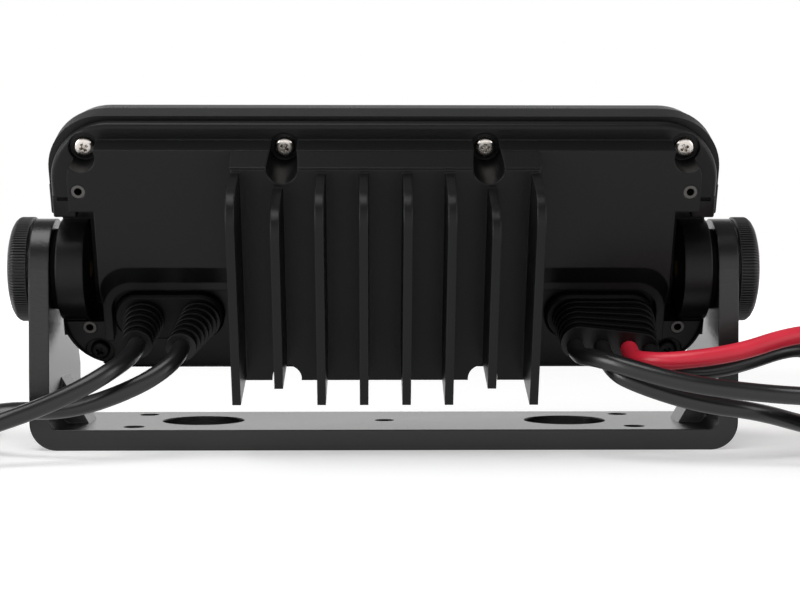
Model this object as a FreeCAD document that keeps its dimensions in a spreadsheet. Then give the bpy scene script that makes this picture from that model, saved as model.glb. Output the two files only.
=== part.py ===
# Marine stereo on a tilting U bracket, seen from behind in its photograph.
# Millimetres. X runs along the bracket, the finned back faces -Y, the operating front faces +Y,
# Z is up. The origin is the centre of the bracket's underside.
# The head (radio) is drawn level in its own axes with the pivot at 0,0,0 and then tilted.

import FreeCAD, Part
import math
import os
import re
import Sketcher
from FreeCAD import Placement, Rotation, Vector

SIZES = {
    # bracket
    "outer_half_width": 103.0, "arm_thickness": 5.8, "base_thickness": 6.0, "base_depth": 51.0,
    "bracket_corner": 8.0, "bracket_inner_corner": 2.5, "arm_top_radius": 15.0,
    "arm_shoulder": 22.0, "pivot_height": 52.5, "hole_row_length": 148.0, "hole_row_gap": 34.0,
    "small_hole": 6.2, "middle_hole": 6.0, "cable_hole": 25.0, "cable_hole_gap": 110.4,
    "web_width": 14.0, "web_reach": 8.2, "web_rise": 14.0,
    # clamp
    "stud_diameter": 5.0, "stud_play": 0.1, "lug_width": 8.0, "pivot_washer": 1.8,
    "pivot_washer_radius": 12.0, "side_play": 0.05, "clamp_washer": 1.0,
    "clamp_washer_radius": 9.0, "knob_radius": 15.5, "knob_rim": 4.6, "knob_crown": 2.4,
    "knob_crown_radius": 12.5, "knob_hub": 0.5, "knob_bevel": 0.8, "crown_bulge": 0.5,
    "knurl_depth": 0.45, "knurl_half_width": 0.55, "knurl_outside": 0.3, "knurl_count": 48.0,
    # head, its planes measured backwards from the pivot
    "tilt": 23.0, "head_rise": 10.0, "flange_half_width": 95.3, "flange_half_height": 38.6,
    "flange_corner": 17.5, "flange_back": 9.2, "flange_thickness": 2.7, "flange_edge": 1.4,
    "seal_thickness": 2.0, "seal_inset": 1.0, "seal_width": 9.0,
    "panel_half_width": 89.0, "panel_top": 43.8, "panel_foot": 8.2, "panel_back": 17.7,
    "panel_corner": 9.0, "notch_half_width": 82.2, "notch_top": 25.4, "notch_foot": 24.0,
    "block_half_width": 42.8, "block_top": 41.8, "block_foot": 23.9, "block_back": 26.4,
    "block_edge": 0.8, "wall": 2.8, "inner_corner": 6.0,
    "fin_back": 47.3, "fin_pitch": 11.8, "fin_thickness": 2.4,
    "long_fin_top": 40.4, "long_fin_root_foot": 22.6, "long_fin_foot": 20.4,
    "long_fin_corner": 9.0, "short_fin_top": 36.0,
    "short_fin_root_foot": 18.5, "short_fin_foot": 15.3, "short_fin_corner": 8.0,
    "lip_back": 14.0, "lip_width": 2.5, "lip_top": 1.9, "lip_side": 82.2, "lip_foot": 17.0,
    "lip_corner": 9.0, "boss_inner": 79.7, "boss_top": 27.4, "boss_foot": 18.0, "boss_front": 5.5,
    "boss_play": 0.6, "boss_wall": 1.5, "boss_seat_play": 0.3, "lug_pocket_foot": 13.0,
    "leg_corner": 8.0, "leg_overlap": 6.0,
    # case screws and inserts
    "screw_row": 28.4, "screw_end": 85.1, "screw_top": 41.5, "screw_foot": 23.0,
    "screw_seat": 7.2, "screw_diameter": 2.5, "screw_head": 4.8, "screw_head_height": 1.8,
    "screw_length": 9.0, "screw_pocket": 4.3, "screw_post": 3.2, "screw_play": 0.2,
    "insert_gap_x": 172.2, "insert_top": 31.4, "low_insert_gap_x": 175.0, "insert_foot": 15.0,
    "insert_diameter": 4.0, "insert_bore": 2.2, "insert_depth": 5.0, "insert_proud": 0.2,
    # glands and boots
    "gland_x": 63.4, "gland_drop": 10.2, "gland_half_width": 16.2, "gland_half_height": 7.2,
    "gland_back": 12.6, "gland_edge": 0.8, "gland_opening": 3.0,
    "boot_end": 30.0, "outer_boot_x": 70.6, "outer_boot_end_x": 70.6, "inner_boot_x": 54.2,
    "inner_boot_end_x": 58.1, "outer_boot_sag": 0.0, "inner_boot_sag": 1.0,
    "boot_root_radius": 6.0, "boot_end_radius": 4.4, "boot_groove": 0.9, "rib_groove": 0.4,
    "wide_boot_half_width": 15.0, "wide_boot_half_height": 6.6,
    "wide_boot_end_half_width": 14.2, "wide_boot_end_half_height": 5.2,
    "wide_boot_roll": 7.0, "wide_boot_shift": 0.9, "wide_boot_sag": 0.8,
    # front half
    "case_half_width": 96.5, "case_half_height": 39.4, "case_corner": 16.0, "case_side": 6.7,
    "trim_half_width": 95.1, "trim_half_height": 39.1, "post_x": 73.0, "post_low": -4.0,
    "post_high": 28.0, "post_radius": 1.5,
    "case_wall": 3.0, "front_plate": 2.5, "trim_depth": 6.8, "trim_round": 3.0,
    "trim_plate": 3.0, "fit_play": 0.1,
    "screen_x": 22.0, "screen_rise": 18.0, "screen_half_width": 50.0, "screen_half_height": 17.0,
    "screen_corner": 3.0, "screen_ledge": 2.0, "lens_thickness": 2.6, "lens_set_back": 0.4,
    "module_play": 0.2, "part_play": 0.5,
    "board_thickness": 1.6, "board_gap": 1.3, "board_edge": 2.0, "board_play": 1.0,
    "key_pitch": 17.0, "key_half_width": 6.5, "key_half_height": 3.2,
    "key_rise": -12.0, "key_proud": 0.8, "key_rim": 1.0, "key_rim_thickness": 1.2,
    "key_corner": 2.0, "key_travel": 0.8, "switch_half_width": 3.0, "switch_height": 3.5,
    "plunger_height": 1.2, "plunger_radius": 1.7, "push_play": 0.1, "sensor_thickness": 0.7,
    "volume_x": 58.0, "volume_rise": 12.0, "volume_radius": 17.0, "volume_length": 14.0,
    "volume_gap": 1.0, "volume_shaft": 6.0, "volume_face": 3.0, "volume_edge": 1.5,
    "volume_grip": 1.4, "volume_grip_count": 18.0, "encoder_half": 7.0, "end_play": 0.02,
    "encoder_height": 6.0, "encoder_neck": 3.6, "encoder_floor": 2.0,
    "main_board_back": 12.1, "chip_half_width": 10.0, "chip_thickness": 3.0,
    "board_screw_head": 4.4, "board_screw_height": 1.6, "board_post": 2.6,
    "board_post_inset": 3.0,
    # cables
    "cord_diameter": 5.0, "coil_radius": 27.5, "coil_pitch": 5.7, "coil_layer": 5.6,
    "coil_turns": 2.5, "lead_out": 6.0, "short_lead_out": 3.5,
    # how far a cutting shape starts outside what it cuts, and how far joined shapes lap
    "overshoot": 1.0, "lap": 0.2,
}

FIN_COUNT = 8
SHORT_FINS = (1, 6)
KEY_COUNT = 6

doc = FreeCAD.newDocument("MarineStereo")
sheet = doc.addObject("Spreadsheet::Sheet", "Sizes")
for row, (name, value) in enumerate(SIZES.items(), 1):
    sheet.set("A%d" % row, name)
    sheet.set("B%d" % row, str(value))
    sheet.setAlias("B%d" % row, name)
doc.recompute()
size = {name: float(sheet.get(name)) for name in SIZES}
parts = []

# Planes of the head, as depths behind the pivot
FLANGE_FRONT = "(flange_back - flange_thickness)"
SEAL_FRONT = "(flange_back - flange_thickness - seal_thickness)"
CASE_FRONT = "(flange_back - flange_thickness - seal_thickness - case_side)"
TRIM_FRONT = "(flange_back - flange_thickness - seal_thickness - case_side - trim_depth)"
TRIM_INNER = "(flange_back - flange_thickness - seal_thickness - case_side - trim_depth" \
             " + trim_plate)"
PLATE_BACK = "(flange_back - flange_thickness - seal_thickness - case_side + front_plate)"
BOARD_FRONT = "(flange_back - flange_thickness - seal_thickness - case_side + front_plate" \
              " + board_gap)"
LUG_INNER = "(outer_half_width - arm_thickness - pivot_washer - side_play - lug_width)"
ARM_INNER = "(outer_half_width - arm_thickness)"
PIVOT_Y = "(arm_top_radius - base_depth / 2)"


def formula(text):
    """The text as a sheet expression, with each size named through the sheet."""
    return re.sub(r"[a-z][a-z_]*[a-z]",
                  lambda word: "Sizes." + word.group() if word.group() in SIZES else word.group(),
                  str(text))


def bind(thing, **formulas):
    for name, text in formulas.items():
        thing.setExpression(name.replace("__", "."), formula(text))


def new_body(label, in_head=False):
    body = doc.addObject("PartDesign::Body", label)
    body.Label = label
    body.AllowCompound = True
    if in_head:
        body.Placement = Placement(Vector(0, 0, 1), Rotation(Vector(1, 0, 0), 1))
        bind(body, Placement__Rotation__Angle="tilt", Placement__Base__y=PIVOT_Y,
             Placement__Base__z="pivot_height")
    parts.append(body)
    return body


def sketch_on(body, role, offset):
    sketch = body.newObject("Sketcher::SketchObject", body.Label + "_sketch")
    plane = [feature for feature in body.Origin.OriginFeatures if feature.Role == role][0]
    sketch.AttachmentSupport = (plane, [""])
    sketch.MapMode = "FlatFace"
    bind(sketch, AttachmentOffset__Base__z=offset)
    return sketch


def fix(sketch, kind, geometry, point, text):
    """Holds one coordinate of a point, measured from the sketch's origin."""
    at = sketch.getPoint(geometry, point)
    now = at.x if kind == "DistanceX" else at.y
    index = sketch.addConstraint(Sketcher.Constraint(kind, -1, 1, geometry, point, now))
    bind(sketch, **{"Constraints[%d]" % index: text})


def made(feature):
    """Stops with the feature's own message where it has failed."""
    doc.recompute()
    if "Invalid" in feature.State or feature.Shape.isNull():
        raise RuntimeError(feature.Name + ": " + feature.getStatusString())
    return feature


def circle(sketch, x, y, radius):
    index = sketch.addGeometry(Part.Circle(Vector(1, 1, 0), Vector(0, 0, 1), 1))
    fix(sketch, "DistanceX", index, 3, x)
    fix(sketch, "DistanceY", index, 3, y)
    held = sketch.addConstraint(Sketcher.Constraint("Radius", index, 1.0))
    bind(sketch, **{"Constraints[%d]" % held: radius})


def polygon(sketch, corners):
    count = len(corners)
    first = sketch.GeometryCount
    around = [Vector(math.cos(2 * math.pi * k / count), math.sin(2 * math.pi * k / count), 0)
              for k in range(count)]
    for k in range(count):
        sketch.addGeometry(Part.LineSegment(around[k], around[(k + 1) % count]))
    for k in range(count):
        following = first + (k + 1) % count
        sketch.addConstraint(Sketcher.Constraint("Coincident", first + k, 2, following, 1))
    for k, (x, y) in enumerate(corners):
        fix(sketch, "DistanceX", first + k, 1, x)
        fix(sketch, "DistanceY", first + k, 1, y)


def rectangle(sketch, x, y, half_width, half_height):
    left, right = "(%s) - (%s)" % (x, half_width), "(%s) + (%s)" % (x, half_width)
    low, high = "(%s) - (%s)" % (y, half_height), "(%s) + (%s)" % (y, half_height)
    polygon(sketch, [(left, low), (right, low), (right, high), (left, high)])


def joined_arcs(sketch, arcs):
    """Adds arcs and the lines between them, each line from one arc's end to the next start."""
    first = sketch.GeometryCount
    count = len(arcs)
    for arc in arcs:
        sketch.addGeometry(arc)
    for k in range(count):
        following = first + (k + 1) % count
        start, end = sketch.getPoint(first + k, 2), sketch.getPoint(following, 1)
        line = sketch.addGeometry(Part.LineSegment(start, end))
        sketch.addConstraint(Sketcher.Constraint("Coincident", line, 1, first + k, 2))
        sketch.addConstraint(Sketcher.Constraint("Coincident", line, 2, following, 1))
    return first


def rounded(sketch, x, y, half_width, half_height, radius):
    """Rectangle with round corners: four quarter arcs and four lines."""
    across, along, corner = 6.0, 4.0, 1.0
    signs = [(1, 1), (-1, 1), (-1, -1), (1, -1)]
    arcs = []
    for k, (sx, sy) in enumerate(signs):
        centre = Vector(sx * (across - corner), sy * (along - corner), 0)
        whole = Part.Circle(centre, Vector(0, 0, 1), corner)
        arcs.append(Part.ArcOfCircle(whole, k * math.pi / 2, (k + 1) * math.pi / 2))
    first = joined_arcs(sketch, arcs)
    for k, (sx, sy) in enumerate(signs):
        upright, level = (2, 1) if k % 2 == 0 else (1, 2)
        sketch.addConstraint(Sketcher.Constraint("Vertical", first + k, upright, first + k, 3))
        sketch.addConstraint(Sketcher.Constraint("Horizontal", first + k, level, first + k, 3))
        middle = "(%s) + %d * ((%s) - (%s))"
        fix(sketch, "DistanceX", first + k, 3, middle % (x, sx, half_width, radius))
        fix(sketch, "DistanceY", first + k, 3, middle % (y, sy, half_height, radius))
        held = sketch.addConstraint(Sketcher.Constraint("Radius", first + k, corner))
        bind(sketch, **{"Constraints[%d]" % held: radius})


def slot(sketch, x, y, half_width, radius):
    """Straight-sided slot with round ends."""
    arcs = []
    for k, side in enumerate((1, -1)):
        whole = Part.Circle(Vector(side * 3, 0, 0), Vector(0, 0, 1), 1)
        arcs.append(Part.ArcOfCircle(whole, (k - 0.5) * math.pi, (k + 0.5) * math.pi))
    first = joined_arcs(sketch, arcs)
    for k, side in enumerate((1, -1)):
        for end in (1, 2):
            sketch.addConstraint(Sketcher.Constraint("Vertical", first + k, end, first + k, 3))
        fix(sketch, "DistanceX", first + k, 3,
            "(%s) + %d * ((%s) - (%s))" % (x, side, half_width, radius))
        fix(sketch, "DistanceY", first + k, 3, y)
        held = sketch.addConstraint(Sketcher.Constraint("Radius", first + k, 1.0))
        bind(sketch, **{"Constraints[%d]" % held: radius})


def grow(body, depth, length, draw, *places, role="XZ_Plane", midplane=False):
    """Pads what draw puts on the plane at this depth, by default towards the back."""
    sketch = sketch_on(body, role, depth)
    for place in places:
        draw(sketch, *place)
    doc.recompute()
    pad = body.newObject("PartDesign::Pad", body.Label + "_pad")
    pad.Profile = sketch
    pad.Midplane = midplane
    bind(pad, Length=length)
    return made(pad)


def join(body, near, near_draw, far, far_draw):
    """Lofts straight from what is drawn at one depth to what is drawn at another."""
    sections = []
    for depth, (draw, *place) in ((near, near_draw), (far, far_draw)):
        sketch = sketch_on(body, "XZ_Plane", depth)
        draw(sketch, *place)
        sections.append(sketch)
    doc.recompute()
    loft = body.newObject("PartDesign::AdditiveLoft", body.Label + "_loft")
    loft.Profile = sections[0]
    loft.Sections = sections[1:]
    loft.Ruled = True
    return made(loft)


def sink(body, depth, length, draw, *places, role="XZ_Plane", midplane=False):
    """Pockets what draw puts on the plane, away along the plane's own direction."""
    before = body.Shape.Volume
    sketch = sketch_on(body, role, depth)
    for place in places:
        draw(sketch, *place)
    doc.recompute()
    pocket = body.newObject("PartDesign::Pocket", body.Label + "_pocket")
    pocket.Profile = sketch
    pocket.Midplane = midplane
    pocket.Reversed = not midplane
    bind(pocket, Length=length)
    made(pocket)
    if body.Shape.Volume > before - 1e-3:
        raise RuntimeError(body.Label + ": a pocket cuts nothing")
    return pocket


def soften(body, radius, chosen, kind="Fillet"):
    """Rounds or chamfers the edges of the tip that the test chooses."""
    tip = body.Tip
    names = ["Edge%d" % (k + 1) for k, edge in enumerate(tip.Shape.Edges) if chosen(edge)]
    feature = body.newObject("PartDesign::" + kind, body.Label + "_soft")
    feature.Base = (tip, names)
    bind(feature, **{"Radius" if kind == "Fillet" else "Size": radius})
    return made(feature)


def lies_at(edge, y=None, tolerance=0.01):
    box = edge.BoundBox
    return abs(box.YMin - y) < tolerance and abs(box.YMax - y) < tolerance


def repeat_round(body, cut, axis, count):
    """Repeats a pocket all the way round an axis."""
    around = body.newObject("PartDesign::PolarPattern", body.Label + "_round")
    around.Originals = [cut]
    around.Axis = axis
    around.Angle = 360
    bind(around, Occurrences=count)
    body.Tip = around
    return made(around)


def turn(body, corners, role="YZ_Plane", axis="H_Axis"):
    """Revolves an outline drawn on an origin plane about one of its axes."""
    sketch = sketch_on(body, role, "0")
    polygon(sketch, corners)
    doc.recompute()
    feature = body.newObject("PartDesign::Revolution", body.Label + "_turned")
    feature.Profile = sketch
    feature.ReferenceAxis = (sketch, [axis])
    feature.Angle = 360
    return made(feature)


def depth_of(text):
    """Value of a depth formula made of sizes, plus and minus signs."""
    total = 0.0
    for sign, name in re.findall(r"([+-]?)\s*([a-z_]+)", text):
        total += -size[name] if sign == "-" else size[name]
    return total


# Bracket: a U of one casting with rounded arm tops and a web in each inner corner
bracket = new_body("bracket")
arm_top = "pivot_height + arm_top_radius"
grow(bracket, "0", "base_depth", polygon, ([
    ("-outer_half_width", "0"), ("outer_half_width", "0"),
    ("outer_half_width", arm_top), (ARM_INNER, arm_top),
    (ARM_INNER, "base_thickness"), ("-" + ARM_INNER, "base_thickness"),
    ("-" + ARM_INNER, arm_top), ("-outer_half_width", arm_top)],), midplane=True)


def along_y_at(half_width, height):
    def chosen(edge):
        box = edge.BoundBox
        level = abs(box.ZMin - height) < 0.01 and abs(box.ZMax - height) < 0.01
        beside = abs(abs(box.Center.x) - half_width) < 0.01 and box.XLength < 0.01
        return level and beside and box.YLength > 1
    return chosen


soften(bracket, "bracket_corner", along_y_at(size["outer_half_width"], 0))
soften(bracket, "bracket_inner_corner",
       along_y_at(size["outer_half_width"] - size["arm_thickness"], size["base_thickness"]))


def arm_waste(sketch):
    """What is cut off both arms: over the round top and in front of the slanting edge."""
    pivot_y = size["arm_top_radius"] - size["base_depth"] / 2
    front, shoulder = size["base_depth"] / 2, size["arm_shoulder"]
    pivot = Vector(pivot_y, size["pivot_height"], 0)
    radius = size["arm_top_radius"]
    reach = math.hypot(front - pivot.x, shoulder - pivot.y)
    turned = math.atan2(shoulder - pivot.y, front - pivot.x) + math.acos(radius / reach)
    touch = Vector(pivot.x + radius * math.cos(turned), pivot.y + radius * math.sin(turned), 0)
    rear = Vector(pivot.x - radius, pivot.y, 0)
    clear = size["overshoot"]
    over = pivot.y + radius + clear
    ring = [Vector(front, shoulder, 0), Vector(front + clear, shoulder, 0),
            Vector(front + clear, over, 0), Vector(rear.x - clear, over, 0),
            Vector(rear.x - clear, rear.y, 0), rear]
    for start, end in zip(ring[:-1], ring[1:]):
        sketch.addGeometry(Part.LineSegment(start, end))
    whole = Part.Circle(pivot, Vector(0, 0, 1), radius)
    sketch.addGeometry(Part.ArcOfCircle(whole, turned, math.pi))
    sketch.addGeometry(Part.LineSegment(touch, ring[0]))
    for k in range(4):
        sketch.addConstraint(Sketcher.Constraint("Coincident", k, 2, k + 1, 1))
    sketch.addConstraint(Sketcher.Constraint("Coincident", 4, 2, 5, 2))
    sketch.addConstraint(Sketcher.Constraint("Coincident", 6, 2, 0, 1))
    sketch.addConstraint(Sketcher.Constraint("Tangent", 5, 1, 6, 1))
    sketch.addConstraint(Sketcher.Constraint("Horizontal", 5, 2, 5, 3))
    fix(sketch, "DistanceX", 5, 3, PIVOT_Y)
    fix(sketch, "DistanceY", 5, 3, "pivot_height")
    held = sketch.addConstraint(Sketcher.Constraint("Radius", 5, radius))
    bind(sketch, **{"Constraints[%d]" % held: "arm_top_radius"})
    for index, x, y in ((0, "base_depth / 2", "arm_shoulder"),
                        (1, "base_depth / 2 + overshoot", "arm_shoulder"),
                        (2, "base_depth / 2 + overshoot", arm_top + " + overshoot"),
                        (3, "-base_depth / 2 - overshoot", arm_top + " + overshoot"),
                        (4, "-base_depth / 2 - overshoot", "pivot_height")):
        fix(sketch, "DistanceX", index, 1, x)
        fix(sketch, "DistanceY", index, 1, y)


sink(bracket, "0", "3 * outer_half_width", arm_waste, (), role="YZ_Plane", midplane=True)
sink(bracket, "-outer_half_width - overshoot", "3 * outer_half_width", circle,
     (PIVOT_Y, "pivot_height", "stud_diameter / 2 + stud_play"), role="YZ_Plane")
holes = [("%d * hole_row_length / 2" % side, "%d * hole_row_gap / 2" % end, "small_hole / 2")
         for side in (-1, 1) for end in (-1, 1)]
holes += [("%d * cable_hole_gap / 2" % side, "0", "cable_hole / 2") for side in (-1, 1)]
holes += [("0", "0", "middle_hole / 2")]
sink(bracket, "-overshoot", "base_thickness + 2 * overshoot", circle, *holes, role="XY_Plane")
for side in (-1, 1):
    arm = "%d * %s" % (side, ARM_INNER)
    inside = "%d * (%s - web_reach)" % (side, ARM_INNER)
    buried = "%d * (%s + arm_thickness / 2)" % (side, ARM_INNER)
    grow(bracket, "0", "web_width", polygon, ([
        (inside, "base_thickness"), (arm, "base_thickness + web_rise"),
        (buried, "base_thickness + web_rise"), (buried, "base_thickness / 2"),
        (inside, "base_thickness / 2")],), midplane=True)

# Washers: soft ones between lug and arm, steel ones under the clamp knobs
pivot_washers = new_body("pivot_washers")
for side in (-1, 1):
    inner = "%d * (%s - pivot_washer / 2)" % (side, ARM_INNER)
    grow(pivot_washers, inner, "pivot_washer", circle,
         (PIVOT_Y, "pivot_height", "pivot_washer_radius"), role="YZ_Plane", midplane=True)
sink(pivot_washers, "-outer_half_width", "2 * outer_half_width", circle,
     (PIVOT_Y, "pivot_height", "stud_diameter / 2 + stud_play"), role="YZ_Plane")


def clamp(side_name, side):
    """One clamp: washer, brass stud and knurled knob on the pivot axis."""
    def placed(label):
        body = doc.addObject("PartDesign::Body", label)
        body.Label = label
        body.Placement = Placement(Vector(0, 0, 1), Rotation(Vector(0, 0, 1), 0 if side > 0 else 180))
        bind(body, Placement__Base__y=PIVOT_Y, Placement__Base__z="pivot_height")
        parts.append(body)
        return body

    washer = placed(side_name + "_clamp_washer")
    grow(washer, "outer_half_width", "clamp_washer", circle,
         ("0", "0", "clamp_washer_radius"), role="YZ_Plane")
    sink(washer, "outer_half_width - overshoot", "clamp_washer + 2 * overshoot", circle,
         ("0", "0", "stud_diameter / 2 + stud_play"), role="YZ_Plane")
    seat = "(outer_half_width + clamp_washer)"
    stud = placed(side_name + "_clamp_stud")
    grow(stud, LUG_INNER, "%s + knob_rim / 2 + knob_crown / 2 - %s" % (seat, LUG_INNER), circle,
         ("0", "0", "stud_diameter / 2"), role="YZ_Plane")
    knob = placed(side_name + "_clamp_knob")
    turn(knob, [(seat, "0"), (seat, "clamp_washer_radius"),
                ("outer_half_width + knob_hub", "clamp_washer_radius + knob_bevel"),
                ("outer_half_width + knob_hub", "knob_radius - knob_bevel"),
                ("outer_half_width + knob_hub + knob_bevel", "knob_radius"),
                ("outer_half_width + knob_hub + knob_rim", "knob_radius"),
                ("outer_half_width + knob_hub + knob_rim + 0.5 * knob_crown",
                 "0.5 * (knob_radius + knob_crown_radius) + crown_bulge"),
                ("outer_half_width + knob_hub + knob_rim + knob_crown", "knob_crown_radius"),
                ("outer_half_width + knob_hub + knob_rim + knob_crown", "0")],
         role="XY_Plane")
    sink(knob, seat + " - overshoot", "knob_rim / 2 + knob_crown / 2 + overshoot", circle,
         ("0", "0", "stud_diameter / 2"), role="YZ_Plane")
    cut = sink(knob, "outer_half_width + knob_hub + knob_bevel",
               "knob_rim - knob_bevel + knob_crown", polygon,
               ([("-knurl_half_width", "knob_radius + knurl_outside"),
                 ("0", "knob_radius - knurl_depth"),
                 ("knurl_half_width", "knob_radius + knurl_outside")],), role="YZ_Plane")
    axis = [feature for feature in knob.Origin.OriginFeatures if feature.Role == "X_Axis"][0]
    repeat_round(knob, cut, (axis, [""]), "knurl_count")


clamp("left", -1)
clamp("right", 1)

# Rear housing: the die-cast back with its flange, panels, block, fins and lugs
housing = new_body("rear_housing", True)
grow(housing, FLANGE_FRONT, "flange_thickness", rounded,
     ("0", "head_rise", "flange_half_width", "flange_half_height", "flange_corner"))
soften(housing, "flange_edge", lambda edge: lies_at(edge, -size["flange_back"]))
into = "flange_thickness / 2"
panel_height = "(panel_top - panel_foot)"
grow(housing, "flange_back - " + into, "panel_back - flange_back + " + into, rounded,
     ("0", "panel_top - %s / 2" % panel_height, "panel_half_width", panel_height + " / 2",
      "panel_corner"))


def leg(sketch, side, foot, corner):
    """Lower outer end of a side panel: square outside, hollow round corner over the cables."""
    inner, outer = "%d * block_half_width / 2" % side, "%d * notch_half_width" % side
    top = "panel_foot + leg_overlap"
    span = (0, math.pi / 2) if side > 0 else (math.pi / 2, math.pi)
    low, level = (1, 2) if side > 0 else (2, 1)
    arc = sketch.addGeometry(Part.ArcOfCircle(Part.Circle(Vector(0, 0, 0), Vector(0, 0, 1), 3),
                                              *span))
    start, end = sketch.getPoint(arc, low), sketch.getPoint(arc, level)
    ring = [start, start + Vector(0, 9, 0), end + Vector(-side * 9, 6, 0),
            end + Vector(-side * 9, 0, 0), end]
    first = sketch.GeometryCount
    for here, there in zip(ring[:-1], ring[1:]):
        sketch.addGeometry(Part.LineSegment(here, there))
    joints = ((first, 1, arc, low), (first, 2, first + 1, 1), (first + 1, 2, first + 2, 1),
              (first + 2, 2, first + 3, 1), (first + 3, 2, arc, level))
    for joint in joints:
        sketch.addConstraint(Sketcher.Constraint("Coincident", *joint))
    for k, (x, y) in enumerate(((outer, top), (inner, top), (inner, foot))):
        fix(sketch, "DistanceX", first + k + 1, 1, x)
        fix(sketch, "DistanceY", first + k + 1, 1, y)
    sketch.addConstraint(Sketcher.Constraint("Horizontal", arc, low, arc, 3))
    sketch.addConstraint(Sketcher.Constraint("Vertical", arc, level, arc, 3))
    fix(sketch, "DistanceX", arc, 3, "%d * (notch_half_width - %s)" % (side, corner))
    fix(sketch, "DistanceY", arc, 3, "%s - %s" % (foot, corner))
    held = sketch.addConstraint(Sketcher.Constraint("Radius", arc, 3.0))
    bind(sketch, **{"Constraints[%d]" % held: corner})


for side in (-1, 1):
    grow(housing, "flange_back - " + into, "lip_back - flange_back + " + into, leg,
         (side, "lip_top", "lip_corner"))
    join(housing, "lip_back", (leg, side, "lip_top", "lip_corner"),
         "panel_back", (leg, side, "panel_foot", "leg_corner"))
    sink(housing, "flange_back", "panel_back", rectangle,
         ("%d * (notch_half_width + leg_overlap)" % side, "(notch_top - notch_foot) / 2",
          "leg_overlap", "(notch_top + notch_foot) / 2"))
grow(housing, "flange_back - " + into, "block_back - flange_back + " + into, rectangle,
     ("0", "(block_top - block_foot) / 2", "block_half_width", "(block_top + block_foot) / 2"))
soften(housing, "block_edge", lambda edge: lies_at(edge, -size["block_back"]))
for side in (-1, 1):
    outside = "(%s + lug_width)" % LUG_INNER
    boss_middle = "%d * (boss_inner + %s) / 2" % (side, outside)
    boss_half = "(%s - boss_inner) / 2" % outside
    grow(housing, "-boss_front", "boss_front + flange_back - " + into, rectangle,
         (boss_middle, "(boss_top - boss_foot) / 2", boss_half, "(boss_top + boss_foot) / 2"))
    sink(housing, "boss_wall - boss_front", "boss_front + panel_back", rectangle,
         ("%d * (notch_half_width + outer_half_width) / 2" % side,
          "(notch_top - lug_pocket_foot) / 2", "(outer_half_width - notch_half_width) / 2",
          "(notch_top + lug_pocket_foot) / 2"))
    grow(housing, "%d * (%s + lug_width / 2)" % (side, LUG_INNER), "lug_width", circle,
         ("0", "0", "arm_top_radius"), role="YZ_Plane", midplane=True)
    sink(housing, "-arm_top_radius - overshoot", "arm_top_radius + overshoot - boss_front",
         rectangle, (boss_middle, "0", boss_half + " + overshoot", "arm_top_radius + overshoot"))


def fin_side(sketch, top, corner, root_foot, back_foot):
    """A fin seen from its side: level top, round upper back corner, sloping foot."""
    arc = sketch.addGeometry(Part.ArcOfCircle(Part.Circle(Vector(-5, 5, 0), Vector(0, 0, 1), 2),
                                              math.pi / 2, math.pi))
    upper, lower = sketch.getPoint(arc, 1), sketch.getPoint(arc, 2)
    ring = [upper, Vector(0, upper.y, 0), Vector(0, -3, 0), Vector(lower.x, -2, 0), lower]
    first = sketch.GeometryCount
    for here, there in zip(ring[:-1], ring[1:]):
        sketch.addGeometry(Part.LineSegment(here, there))
    joints = ((first, 1, arc, 1), (first, 2, first + 1, 1), (first + 1, 2, first + 2, 1),
              (first + 2, 2, first + 3, 1), (first + 3, 2, arc, 2))
    for joint in joints:
        sketch.addConstraint(Sketcher.Constraint("Coincident", *joint))
    root = "-(block_back - block_edge)"
    for k, (x, y) in enumerate(((root, top), (root, "-" + root_foot),
                                ("-fin_back", "-" + back_foot))):
        fix(sketch, "DistanceX", first + k + 1, 1, x)
        fix(sketch, "DistanceY", first + k + 1, 1, y)
    sketch.addConstraint(Sketcher.Constraint("Vertical", arc, 1, arc, 3))
    sketch.addConstraint(Sketcher.Constraint("Horizontal", arc, 2, arc, 3))
    fix(sketch, "DistanceX", arc, 3, "-(fin_back - %s)" % corner)
    fix(sketch, "DistanceY", arc, 3, "%s - %s" % (top, corner))
    held = sketch.addConstraint(Sketcher.Constraint("Radius", arc, 2.0))
    bind(sketch, **{"Constraints[%d]" % held: corner})


for step in range(FIN_COUNT):
    place = "%g * fin_pitch" % (step - (FIN_COUNT - 1) / 2)
    side_view = ("long_fin_top", "long_fin_corner", "long_fin_root_foot", "long_fin_foot")
    if step in SHORT_FINS:
        side_view = ("short_fin_top", "short_fin_corner", "short_fin_root_foot", "short_fin_foot")
    grow(housing, place, "fin_thickness", fin_side, side_view, role="YZ_Plane", midplane=True)


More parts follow.
